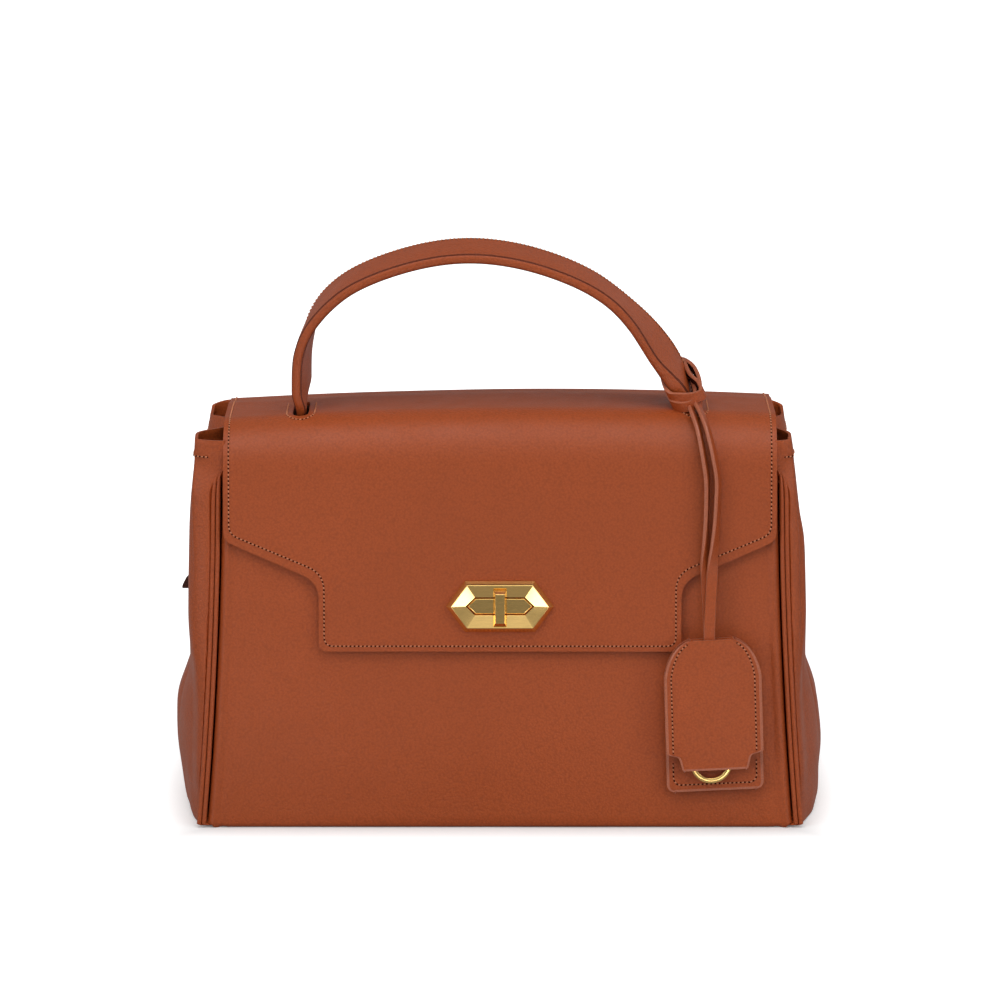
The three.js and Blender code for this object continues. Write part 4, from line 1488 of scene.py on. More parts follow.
    def build_layer(
        self, slot: Slot, inset: float, depth: float, thickness: float, round_edge: float,
        materials: Sequence[Material],
    ) -> None:
        """Makes the rear and the front piece of one layer.

        Args:
            slot: The layer's material slot, which also names its pieces.
            inset: How far its edges stay inside the leather's.
            depth: How far it lies below the outer face.
            thickness: Its thickness.
            round_edge: Radius of its edges.
            materials: Its materials, the last one for the cut edge.
        """
        label, rim = slot.value, len(materials) - 1
        rear, front = self.split(self.rows(inset))
        front_nodes = [f"flap_top_{label}", f"flap_front_{label}"]
        rear_nodes = ["flap_root"] if slot is Slot.LEATHER else []
        ends = (("rear", rear, REAR_BEND, rear_nodes), ("front", front, FRONT_BEND, front_nodes))
        for end, rows, bend, nodes in ends:
            piece = self.sheet(f"flap_{label}_{end}", rows, depth)
            dress(piece, materials)
            modify(
                piece, "SOLIDIFY", thickness=thickness * MM, offset=-1.0, use_even_offset=True,
                material_offset_rim=rim,
            )
            for x in self.slot_x if end == "front" else ():
                middle = Vector((x, self.slot_y, self.form.flap_top))
                carve(piece, middle, Vector((*self.slot_size, 24.0)), 3.5)
            soften(piece, round_edge, segments=3, rim_slot=rim)
            settle(piece, bend, (), nodes)
            if slot is Slot.LINING:
                flat, area = cut_size(rows, 0.0)

    def sew(self, sewing: Sewing) -> None:
        """Makes the stitches along the flap's edges and round the handle's slots."""
        rows = self.rows(self.stitch_inset)
        slots = [self.slot_line(x + aside, rows) for x, aside in zip(self.slot_x, self.slot_aside)]
        rear, front = self.split(rows)
        seams = (("rear", rear, rear[0], (), REAR_BEND), ("front", front, front[-1], slots, FRONT_BEND))
        for end, part, edge, more, bend in seams:
            sides = [[(self.surface(side * row.half, row), row.out) for row in part] for side in (-1, 1)]
            across = [(self.surface(x, edge), edge.out) for x in np.linspace(-edge.half, edge.half, 60)]
            sewing.sew(f"flap_stitch_{end}", [*sides, across, *more], bend)

    def slot_line(self, x: float, rows: Sequence[Row]) -> list[tuple[Vector, Vector]]:
        """Stitch line round the front end of a handle's slot.

        Args:
            x: Middle of the line across the bag.
            rows: Rows of the flap.

        Returns:
            Points on the flap and the directions out of it.
        """
        reach = self.slot_size[0] / 2 + self.slot_stitch
        back = self.slot_y + self.slot_size[1] / 2 - 4.0
        front = self.slot_y - self.slot_size[1] / 2 - self.slot_stitch + reach
        spots = [(x - reach, lerp(back, front, step / 12)) for step in range(12)]
        turns = [math.pi * step / 12 for step in range(13)]
        spots += [(x - reach * math.cos(turn), front - reach * math.sin(turn)) for turn in turns]
        spots += [(x + reach, lerp(front, back, step / 12)) for step in range(1, 13)]
        top = [row for row in rows if row.out.z > 0.3]
        line = []
        for across, y in spots:
            after = next(k for k, row in enumerate(top) if row.point.y <= y)
            first, second = top[after - 1], top[after]
            share = (first.point.y - y) / (first.point.y - second.point.y)
            point = self.surface(across, first).lerp(self.surface(across, second), share)
            line.append((point, first.out.lerp(second.out, share)))
        return line


@dataclass
class Handle:
    """The top handle: a stiff strap with a rolled bead along each side, leaning forwards."""

    form: Form
    finishes: Finishes
    y: float = -14.0
    lean: float = math.radians(9.5)
    half_width: float = 14.0
    half_thick: float = 2.8
    stitch_place: float = 11.0
    left_twist: float = math.radians(-10.0)
    right_twist: float = math.radians(-20.0)
    hitch_swell: float = 0.55
    hitch_twist: Pair = (11.0, 22.0)
    hitch_level: float = 17.0
    shaded_crease_sides: tuple[int, ...] = (0, 1, 12, 13, 18, 19, 30, 31)
    route: Pairs = (
        (-103.7, -4.0), (-103.6, 12.0), (-102.2, 35.0), (-96.0, 52.0), (-80.0, 69.0), (-50.0, 82.5),
        (-18.0, 88.0), (14.0, 84.0), (48.0, 70.0), (70.0, 51.0), (86.0, 29.0), (93.0, 16.0), (96.4, 8.0),
        (97.0, 2.0), (97.0, -4.0),
    )

    def turn(self, place: Vector) -> Vector:
        """Turns a direction in the handle's leaning frame to the bag's frame."""
        sine, cosine = math.sin(self.lean), math.cos(self.lean)
        return Vector((place.x, place.y * cosine - place.z * sine, place.y * sine + place.z * cosine))

    def stations(self) -> list[Station]:
        """Lists even places along the handle from its left foot to its right foot."""
        line = smooth_path([Vector((x, 0, z)) for x, z in self.route], 2.6)
        upright = self.turn(Vector((0, 0, 1)))
        foot_place = Vector((0, self.y, self.form.flap_top))
        result = []
        for point, along in zip(line, line_directions(line)):
            hitched = point.x > 0
            low, rise = self.hitch_twist if hitched else (4.0, 10.0)
            leg = smoothstep((point.z - low) / rise) * (1 - smoothstep((point.z - 32.0) / 34.0))
            twist = Matrix.Rotation((self.right_twist if hitched else self.left_twist) * leg, 3, upright)
            foot = smoothstep((point.z + 3.0) / 11.0)
            pressed = self.hitch_swell * bell(point.z - self.hitch_level, 9.0) if hitched else 0.0
            across = twist @ self.turn(Vector((0, 1, 0))) * lerp(0.86, 1.0, foot)
            out = twist @ self.turn(Vector((-along.z, 0, along.x))) * (lerp(0.78, 1.0, foot) + pressed)
            result.append(Station(self.turn(point) + foot_place, across, out, point.z))
        return result

    def section(self) -> list[Pair]:
        """Section of the strap: a rolled bead along each side, set off from the faces by a crease."""
        width, thick = self.half_width, self.half_thick
        step_in = [(-width + 1.6, thick - 0.06), (-width + 1.35, thick - 0.95), (-width + 1.0, thick - 0.78)]
        front = [(across, -out) for across, out in step_in]
        for step in range(9):
            angle = math.radians(lerp(-78, 78, step / 8))
            front.append((-width + 0.8 - 1.15 * math.cos(angle), (thick - 0.66) * math.sin(angle)))
        front += reversed(step_in)
        front += [(-width + 5.0, thick + 0.22), (0.0, thick + 0.32), (width - 5.0, thick + 0.22)]
        return [*front, *((-across, -out) for across, out in front)]

    def build(self, sewing: Sewing) -> None:
        """Makes the strap and the stitches of its outer face."""
        stations = self.stations()
        # The strap's crease sides take the darker inner leather: painted shade along the grooves beside the
        # beads.
        strap = sweep("handle_strap", stations, self.section(), marked=self.shaded_crease_sides)
        smooth(strap, 42.0)
        settle(
            strap, Body.HANDLE, [self.finishes.hide, self.finishes.shaded_inner_hide],
            ["handle_outer", "handle_core", "handle_inner"],
        )
        height = self.half_thick + 0.18
        line = [
            (station.centre + station.across * self.stitch_place + station.out * height, station.out)
            for station in stations if station.half > 3.0
        ]
        sewing.sew("handle_stitch", [line], Body.HANDLE)


@dataclass
class Anchors:
    """The handle's turned-under ends below the flap."""

    finishes: Finishes

    def build(self) -> None:
        """Makes a rounded leather end over each anchor of the frame."""
        for label in ("left", "right"):
            node = f"handle_anchor_{label}"
            low, high = corners(node)
            middle, size = (low + high) / 2, high - low

            def place(column: int, row: int) -> Vector:
                """Point of the end's lower face."""
                across, along = (lerp(-0.5, 0.5, step / 10) for step in (column, row))
                dish = 0.25 * (1 - (2 * across) ** 2) * (1 - (2 * along) ** 2)
                return Vector((middle.x + size.x * across, middle.y + size.y * along, low.z - dish + 0.25))

            inside = Vector((middle.x, middle.y, high.z + 50))
            materials = [self.finishes.shaded_inner_hide, self.finishes.edge]
            piece = panel(f"{node}_end", (10, 10), place, inside, size.z - 0.3, 0.4, materials)
            settle(piece, Body.FLAP_TOP, (), [node])


@dataclass
class TurnLock:
    """The six-sided lock on the flap: a faceted frame, a plate in its opening and a turning bar."""

    form: Form
    finishes: Finishes
    level: float = 117.0
    seat: float = 4.0
    outer: Triple = (28.0, 18.1, 13.3)
    opening: Triple = (17.8, 12.9, 4.7)
    rim_height: float = 4.0
    rim_inset: float = 2.2
    rim_foot: float = 1.45
    opening_height: float = 1.6
    plate: float = 1.2
    bar: Triple = (6.9, 18.9, 3.2)
    bar_bevel: float = 2.5
    bar_sides: float = 0.42
    bar_ends: float = 0.78
    bar_drop: float = 0.7
    soft_edge: float = 0.16

    def hexagon(self, half: Triple, height: float) -> list[Vector]:
        """Corners of a six-sided outline at a height over the flap's seat."""
        wide, flat, tall = half
        corners = ((wide, 0), (flat, tall), (-flat, tall), (-wide, 0), (-flat, -tall), (flat, -tall))
        return [self.form.on_face(x, self.level + z, self.seat + height) for x, z in corners]

    @staticmethod
    def inset(half: Triple, inset: float) -> Triple:
        """A six-sided outline whose sides all lie an equal distance further in."""
        wide, flat, tall = half
        tip = wide - inset * math.hypot(wide - flat, tall) / tall
        return (tip, tip - (wide - flat) * (tall - inset) / tall, tall - inset)

    def stack(self, name: str, loops: Sequence[Sequence[Vector]], ring: bool) -> Piece:
        """Joins outlines of equally many corners.

        Args:
            name: The piece's name.
            loops: The outlines.
            ring: Whether the last outline joins the first, which leaves the middle open.

        Returns:
            The new piece, with its edges softened.
        """
        count = len(loops[0])
        rows = len(loops) if ring else len(loops) - 1
        piece = loft(name, count, rows, lambda column, row: loops[row % len(loops)][column % count])
        edit(piece, weld, close_ends)
        soften(piece, self.soft_edge, 8.0, 2)
        smooth(piece, 12.0)
        return piece

    def bar_seat(self) -> float:
        """Height of the bar's underside over the flap's seat, clear of the sloping frame."""
        slope = (self.rim_height - self.opening_height) / (self.outer[2] - self.rim_inset - self.opening[2])
        return self.opening_height + (self.bar[1] / 2 - self.opening[2]) * slope + self.form.gap

    def build(self) -> None:
        """Makes the frame, the plate and the bar."""
        finishes = self.finishes
        ridge = self.inset(self.outer, self.rim_inset)
        rim = self.stack("lock_rim", [
            self.hexagon(self.outer, 0.0),
            self.hexagon(self.outer, self.rim_foot),
            self.hexagon(ridge, self.rim_height),
            self.hexagon(self.opening, self.opening_height),
            self.hexagon(self.opening, 0.0),
        ], True)
        settle(rim, Body.FLAP_FRONT, [finishes.plate], ["lock_frame"])
        face = self.inset(self.opening, 0.5)
        plate = self.stack("lock_plate", [
            self.hexagon(face, 0.0),
            self.hexagon(face, self.plate - 0.5),
            self.hexagon(self.inset(face, 0.5), self.plate),
        ], False)
        settle(plate, Body.FLAP_FRONT, [finishes.plate], ["lock_face"])
        base = self.bar_seat()
        wide, tall, thick = self.bar

        def bar_loop(side_inset: float, end_inset: float, height: float) -> list[Vector]:
            """Outline of the bar at a height."""
            return [
                self.form.on_face(
                    sx * (wide / 2 - side_inset), self.level - self.bar_drop + sz * (tall / 2 - end_inset),
                    self.seat + base + height,
                )
                for sx, sz in ((1, 1), (-1, 1), (-1, -1), (1, -1))
            ]

        knob = self.stack("lock_bar", [
            bar_loop(0.0, 0.0, 0.0),
            bar_loop(0.0, 0.0, thick - self.bar_bevel),
            bar_loop(self.bar_bevel * self.bar_sides, self.bar_bevel * self.bar_ends, thick),
        ], False)
        settle(knob, Body.KNOB, [finishes.plate], ["turn_bar"])


@dataclass(frozen=True)
class Strand:
    """One of the tag strap's two strands.

    Attributes:
        start: Points where it leaves the hitch.
        over: Its places across the bag over the front fold.
        fall: Its places across the bag at the falling levels.
        depth: Which side of the ring's plane it hangs on.
        lift: Level from which it leaves that side, and over how long.
        twist: Turn of its face to the right, by height.
    """

    start: Points
    over: Sequence[float]
    fall: Sequence[float]
    depth: float
    lift: Pair
    twist: Pairs


@dataclass
class TagStrap:
    """The thin strap of the key tag: hitched round the handle, over the fold and down to the ring."""

    form: Form
    finishes: Finishes
    handle: Handle
    width: float = 5.7
    thick: float = 1.1
    heavy: float = 1.75
    tag_x: float = 109.5
    ring_plane: float = 8.3
    turn: float = 2.1
    ring_level: float = 45.0
    swing_level: float = 188.0
    proud: float = 4.1
    band_level: float = 12.6
    upper_band: Points = (
        (-15.2, -4.4, 1.4), (-17.2, 0, -0.5), (-17.8, 6, -2.8), (-15, 10.4, -4), (-8, 10.4, -2.2),
        (0, 7.2, 1), (9, 6, 3.5), (14.6, 5, 5), (16, 0, 7.2), (14.6, -5, 9), (5, -6, 8), (-6, -6.2, 5.8),
        (-12.2, -5.8, 3.4),
    )
    lower_band: Points = (
        (-15, -5.4, -2.8), (-18.4, -1.5, -4.8), (-19, 2.5, -5.8), (-17, 6, -5.8), (-10, 7, -5),
        (0, 6.4, -4.2), (14.6, 5, -2.5), (16, 0, -0.3), (14.6, -5, 1.7), (4, -6.2, 1.2), (-8, -6.4, -0.8),
    )
    # The loop's far side faces backwards, so its dark back shows through the loop's opening as painted shade.
    far_side: Points = (
        (100.0, 8.4, 215), (99.6, 8.6, 220), (98.8, 8.2, 226), (97.4, 6.8, 230.4), (96.2, 3.6, 232.2),
    )
    far_faces: Points = ((0, 1, 0), (0, 1, 0.15), (-0.2, 0.8, 0.6))
    near_side: Points = (
        (92, 7, 227), (93.6, 5.6, 232), (96.6, 0.5, 234.4), (99.6, -5.5, 233.4), (102.0, -10.5, 231),
        (103.6, -17, 227.6), (104.0, -23, 223.8), (103.4, -28.5, 220), (102.8, -31, 218),
    )
    near_faces: Points = ((-0.2, 0.4, 1), (0.8, 0.45, 0.35), (0.9, 0.35, 0))
    over: Pairs = ((66.0, 5.4), (44.0, 4.7), (22.0, 3.6))
    levels: Sequence[float] = (183, 172, 162, 150, 141, 126, 120, 104, 80, 54)
    left: Strand = Strand(
        start=((100.3, -29.5, 219.6), (99.7, -33.4, 216.0)), over=(100.3, 102.6, 104.6),
        fall=(106.8, 106.8, 106.6, 106.4, 106.2, 107.0, 107.4, 108.2, 109.0, 109.5), depth=-0.9,
        lift=(96.0, 54.0),
        twist=(
            (104, 0), (130, 0.1), (146, 0.9), (162, 1.35), (183, 1.3), (197, 1.25), (207, 1.15), (214, 0.95),
            (218, 0.6),
        ),
    )
    right: Strand = Strand(
        start=((102.9, -29.5, 220.6), (102.8, -33.6, 217.0)), over=(104.6, 107.4, 109.9),
        fall=(112.4, 112.2, 111.8, 110.9, 110.0, 109.2, 108.9, 108.3, 109.0, 109.5), depth=1.0,
        lift=(110.0, 70.0),
        twist=(
            (104, 0), (130, 0.1), (146, 0.85), (162, 1.2), (183, 1.25), (197, 1.2), (207, 1.1), (214, 0.95),
            (218, 0.8),
        ),
    )

    def make(self, name: str, stations: Sequence[Station], ring: bool = False) -> Piece:
        """Makes a length of strap with painted edges and a back in dark paint, partly its own dark flesh side
        and partly painted shade.
        """
        wide, thick = self.width / 2, self.thick / 2
        section = soft_section(wide, thick, wide - 0.25, thick * 0.6)
        piece = sweep(name, stations, section, ring, (0, 2, 3, 4, 6, 7), (1,))
        smooth(piece, 50.0)
        return piece

    def leg(self, level: float) -> Station:
        """Place on the handle's right leg at a height along the handle."""
        legs = [station for station in self.handle.stations() if station.centre.x > 60]
        return min(legs, key=lambda station: abs(station.half - level))

    def girth(self, height: float) -> float:
        """How much thicker the strap is at a height than in the tag."""
        return lerp(1.0, self.heavy, smoothstep((height - 98.0) / 20.0))

    def band(self, name: str, shape: Points) -> Piece:
        """Makes one turn of the strap round the handle's leg.

        Args:
            name: The piece's name.
            shape: Points of the turn, as across the leg, out of its face and up.

        Returns:
            The new piece.
        """
        leg = self.leg(self.band_level)
        across, out = leg.across.normalized(), leg.out.normalized()
        up = across.cross(out)
        if up.z < 0:
            up.negate()
        ring = smooth_ring([leg.centre + across * a + out * o + up * rise for a, o, rise in shape], 1.2)
        stations = []
        for k, point in enumerate(ring):
            along = (ring[(k + 1) % len(ring)] - ring[k - 1]).normalized()
            wide = (up - along * up.dot(along)).normalized()
            stations.append(Station(point, wide, along.cross(wide) * self.heavy))
        return self.make(name, stations, True)

    def ribbon(self, name: str, line: Sequence[Vector], faces: Sequence[Vector]) -> Piece:
        """Makes a strip along a line.

        Args:
            name: The piece's name.
            line: Points of the strip's middle.
            faces: Direction out of the strip's face at each point.

        Returns:
            The new piece.
        """
        stations = []
        for point, along, face in zip(line, line_directions(line), faces):
            out = (face - along * face.dot(along)).normalized()
            stations.append(Station(point, out.cross(along).normalized(), out * self.girth(point.z)))
        return self.make(name, stations)

    def fold_out(self, point: Vector) -> Vector:
        """Direction out of the flap's front fold at a point near it."""
        centre = self.form.fold_centre(self.form.front_radius, -1)
        away = Vector((0, min(point.y - centre.y, -0.01), max(point.z - centre.z, 0.0)))
        face = self.form.face_out()
        return away.normalized() if away.normalized().z > face.z else face

    def over_fold(self, x: float, angle: float, height: float) -> Vector:
        """Point over the front fold, by its angle from level in degrees and its height over the leather."""
        centre = self.form.fold_centre(self.form.front_radius, -1)
        reach = self.form.front_radius + height
        turn = math.radians(angle)
        return Vector((x, centre.y - reach * math.cos(turn), centre.z + reach * math.sin(turn)))

    def strand(self, shape: Strand) -> tuple[list[Vector], list[Vector]]:
        """Lists the points and face directions of one strand, from the hitch to the ring.

        Args:
            shape: The strand.

        Returns:
            The points and the directions.
        """
        points = [Vector(point) for point in shape.start]
        points += [self.over_fold(x, angle, height) for x, (angle, height) in zip(shape.over, self.over)]
        apart = shape.depth * self.turn
        for level, x in zip(self.levels, shape.fall):
            risen = smoothstep((level - shape.lift[0]) / shape.lift[1])
            out = lerp(self.ring_plane + apart, self.form.flap_out + self.proud, risen)
            points.append(self.form.on_face(x, level, out))
        points.append(self.form.on_face(self.tag_x, self.ring_level - 1.6, self.ring_plane + apart * 0.75))
        points.append(self.form.on_face(self.tag_x, self.ring_level - 2.5, self.ring_plane))
        line = smooth_path(points, 1.5)
        faces = []
        for point, along in zip(line, line_directions(line)):
            turn = Matrix.Rotation(smooth_table(shape.twist, point.z), 3, -along)
            faces.append(turn @ self.fold_out(point))
        return line, faces

    def build(self) -> None:
        """Makes the hitch and the two strands, each split where the strap swings."""
        dressing = [self.finishes.hide, self.finishes.edge, self.finishes.crease]
        bands = (("upper", self.upper_band, ["strap_hitch"]), ("lower", self.lower_band, []))
        for label, shape, nodes in bands:
            settle(self.band(f"strap_band_{label}", shape), HITCH_BEND, dressing, nodes)
        # The inner arch turns its dark back to the front: painted shade that fills the loop's opening.
        loop = (("inner", self.far_side, self.far_faces), ("outer", self.near_side, self.near_faces))
        for label, arch, turns in loop:
            line = smooth_path([Vector(point) for point in arch], 1.0)
            first, middle, last = (Vector(turn) for turn in turns)
            faces = []
            for k in range(len(line)):
                along = 2 * k / (len(line) - 1)
                faces.append(first.lerp(middle, along) if along < 1 else middle.lerp(last, along - 1))
            settle(self.ribbon(f"strap_bight_{label}", line, faces), HITCH_BEND, dressing)
        swing = Bend(
            Body.FLAP_FRONT, Body.STRAP, self.form.on_face(0, self.swing_level + 2.0, 4.0),
            self.form.on_face(0, self.swing_level - 14.0, 8.0),
        )
        hinge = self.form.on_face(0, self.swing_level, 0)
        nodes = {"strap_tail_left": ["strap_lead", "strap_bend"], "strap_fall_left": ["tag_strap"]}
        for label, shape in (("left", self.left), ("right", self.right)):
            line, faces = self.strand(shape)
            cut = next(k for k, point in enumerate(line) if point.z < hinge.z)
            parts = (("tail", slice(cut + 1), FRONT_BEND), ("fall", slice(cut, None), swing))
            for part, span, bend in parts:
                name = f"strap_{part}_{label}"
                piece = self.ribbon(name, line[span], faces[span])
                settle(piece, bend, dressing, nodes.get(name, ()))


@dataclass
class KeyTag:
    """The key tag: two sewn leaves with a stepped lower edge, hiding a split ring."""

    form: Form
    finishes: Finishes
    x: float = 109.5
    half: float = 25.2
    top_half: float = 11.5
    top: float = 100.4
    shoulder: float = 84.0
    bottom: float = 20.6
    corner: float = 4.0
    groove: float = 0.25
    leaf: float = 1.4
    clear: float = 0.35
    seat: float = 4.0
    front_seat: float = 11.2
    step_level: float = 41.0
    swell: float = 1.1
    tilt: float = math.radians(2.6)
    tab: Pairs = (
        (25.0, 41.6), (24.2, 41.2), (22.0, 40.6), (19.8, 40.0), (18.9, 39.3), (18.4, 38.2), (17.8, 35.8),
        (17.2, 33.4), (16.9, 32.7), (16.2, 32.3),
    )
    stitch_inset: float = 3.6
    ring_radius: float = 9.5
    ring_wire: float = 1.3
    ring_level: float = 35.8
    ring_plane: float = 8.3

    def spot(self, x: float, level: float, out: float) -> Vector:
        """Point at a place across the tag, which hangs a little askew about its top."""
        sine, cosine = math.sin(self.tilt), math.cos(self.tilt)
        drop = level - self.top
        across = self.x + x * cosine - drop * sine * 0.7
        return self.form.on_face(across, self.top + drop * cosine + x * sine, out)

    def sides(self, inset: float, low: float) -> list[Pair]:
        """Half widths and levels of the round shoulders and the straight sides.

        Args:
            inset: How far the line stays inside the cut edge.
            low: Level where the straight sides end.

        Returns:
            Half width and level of each row, from the top edge down.
        """
        side, start = self.half - inset, self.shoulder - 3.0
        high = self.top - inset * 0.25
        first = max(self.top_half - inset * 0.3, 8.0)
        wide, level = lerp(first, side, 0.8), lerp(high, self.shoulder, 0.2)
        round_rows = [(bow(first, wide, side, k / 14), bow(high, level, start, k / 14)) for k in range(15)]
        return [*round_rows, *((side, lerp(start, low, step / 14)) for step in range(1, 15))]

    def back_rows(self, inset: float) -> list[Pair]:
        """Half widths and levels of the back leaf's outline from the top down."""
        low = self.bottom + inset
        ends = []
        for step in range(1, 7):
            angle = math.pi / 2 * step / 6
            width = self.half - inset - self.corner * (1 - math.cos(angle))
            ends.append((width, low + self.corner * (1 - math.sin(angle))))
        return [*self.sides(inset, low + self.corner), *ends]

    def front_rows(self, inset: float) -> list[Pair]:
        """Half widths and levels of the front leaf's outline from the top down, with its stepped tab."""
        return [*self.sides(inset, self.step_level + 1.0), *(() if inset else self.tab)]

    def front_out(self, x: float, level: float) -> float:
        """Distance of the front leaf's outer face from the bag's front."""
        rise = self.swell * bell(x, 8.0) * smoothstep((level - 52.0) / 46.0)
        pressed = 0.5 * smoothstep((abs(x) - self.half + 6.0) / 6.0)
        return self.front_seat + self.leaf + rise - pressed

    def leaf_piece(
        self, name: str, rows: Pairs, out: Callable[[float, float], float], thickness: float,
    ) -> Piece:
        """Makes one leaf with a painted edge.

        Args:
            name: The piece's name.
            rows: Half widths and levels of its outline.
            out: Gives the distance of its outer face from the bag's front at a place and level.
            thickness: Its thickness.

        Returns:
            The new piece.
        """
        columns, band = 28, 3

        def place(column: int, index: int) -> Vector:
            """Point of the leaf's outer face."""
            half, level = rows[index]
            x = half * crowd(column / columns)
            dip = self.groove if min(column, columns - column) == band else 0.0
            return self.spot(x, level, out(x, level) - dip)

        piece = loft(name, columns, len(rows) - 1, place)
        for face in piece.data.polygons:
            row, column = divmod(face.index, columns)
            over_foot = (rows[row][1] + rows[row + 1][1]) / 2 - rows[-1][1]
            face.material_index = int(min(column, columns - 1 - column) < band or over_foot < 1.0)
        face_away(piece, Vector((0, 200, 60)))
        dress(piece, [self.finishes.hide, self.finishes.edge])
        thicken(piece, thickness, 0.5, 1)
        return piece

    def build(self, sewing: Sewing) -> None:
        """Makes the leaves, the welts between them, the stitches and the ring."""
        flat = self.seat + self.leaf
        leaves = (
            ("back", self.back_rows(0.0), lambda x, level: flat, self.leaf - self.clear),
            ("front", self.front_rows(0.0), self.front_out, self.leaf),
        )
        for label, rows, out, thickness in leaves:
            leaf = self.leaf_piece(f"tag_leaf_{label}", rows, out, thickness)
            settle(leaf, Body.SHEATH, (), [f"tag_{label}_leaf"])
        self.build_welts()
        back, front = self.back_rows(self.stitch_inset), self.front_rows(self.stitch_inset)[2:]
        seen = [row for row in back if row[1] < self.step_level - 2.0]
        out = self.form.face_out()
        lines = []
        for side in (-1, 1):
            lines.append([
                (self.spot(side * half, level, self.front_out(half, level)), out) for half, level in front
            ])
            lines.append([(self.spot(side * half, level, flat), out) for half, level in seen])
        half, low = back[-1]
        lines.append([(self.spot(lerp(-half, half, step / 20), low, flat), out) for step in range(21)])
        sewing.sew("tag_stitch", lines, Body.SHEATH)
        self.build_ring()

    def build_welts(self) -> None:
        """Makes the thick welts that hold the leaves apart at their sides."""
        gap = self.front_seat - self.seat - self.leaf
        middle = self.seat + self.leaf + gap / 2
        wide, thick = 1.6, gap / 2 - 0.15
        section = [
            (-wide, -thick), (wide - 0.4, -thick), (wide, -thick + 0.5), (wide, thick - 0.5),
            (wide - 0.4, thick), (-wide, thick),
        ]
        for side, label in ((-1, "left"), (1, "right")):
            stations = []
            for step in range(25):
                level = lerp(self.shoulder, self.step_level, step / 24)
                centre = self.spot(side * (self.half - 2.2), level, middle)
                stations.append(Station(centre, Vector((1, 0, 0)), self.form.face_out()))
            welt = sweep(f"tag_welt_{label}_edge", stations, section)
            smooth(welt)
            settle(welt, Body.SHEATH, [self.finishes.edge], [f"tag_welt_{label}"])

    def build_ring(self) -> None:
        """Makes the split ring as two flat turns of wire that lie on each other."""
        turns, steps = 1.94, 110
        centre = self.form.on_face(self.x, self.ring_level, self.ring_plane)
        out = self.form.face_out()
        right = Vector((1, 0, 0))
        up = right.cross(out).normalized()
        stations = []
        for step in range(steps + 1):
            angle = 2 * math.pi * turns * step / steps + math.pi / 2
            spread = lerp(-0.66, 0.66, smoothstep((step / steps - 0.42) / 0.16))
            away = right * math.cos(angle) + up * math.sin(angle)
            stations.append(Station(centre + away * self.ring_radius + out * spread, away, out))
        wide, thick = self.ring_wire, 0.6
        ring = sweep("split_ring", stations, soft_section(wide, thick, wide * 0.7, thick * 0.5))
        smooth(ring, 50.0)
        settle(ring, Body.RING, [self.finishes.plate], ["key_ring"])


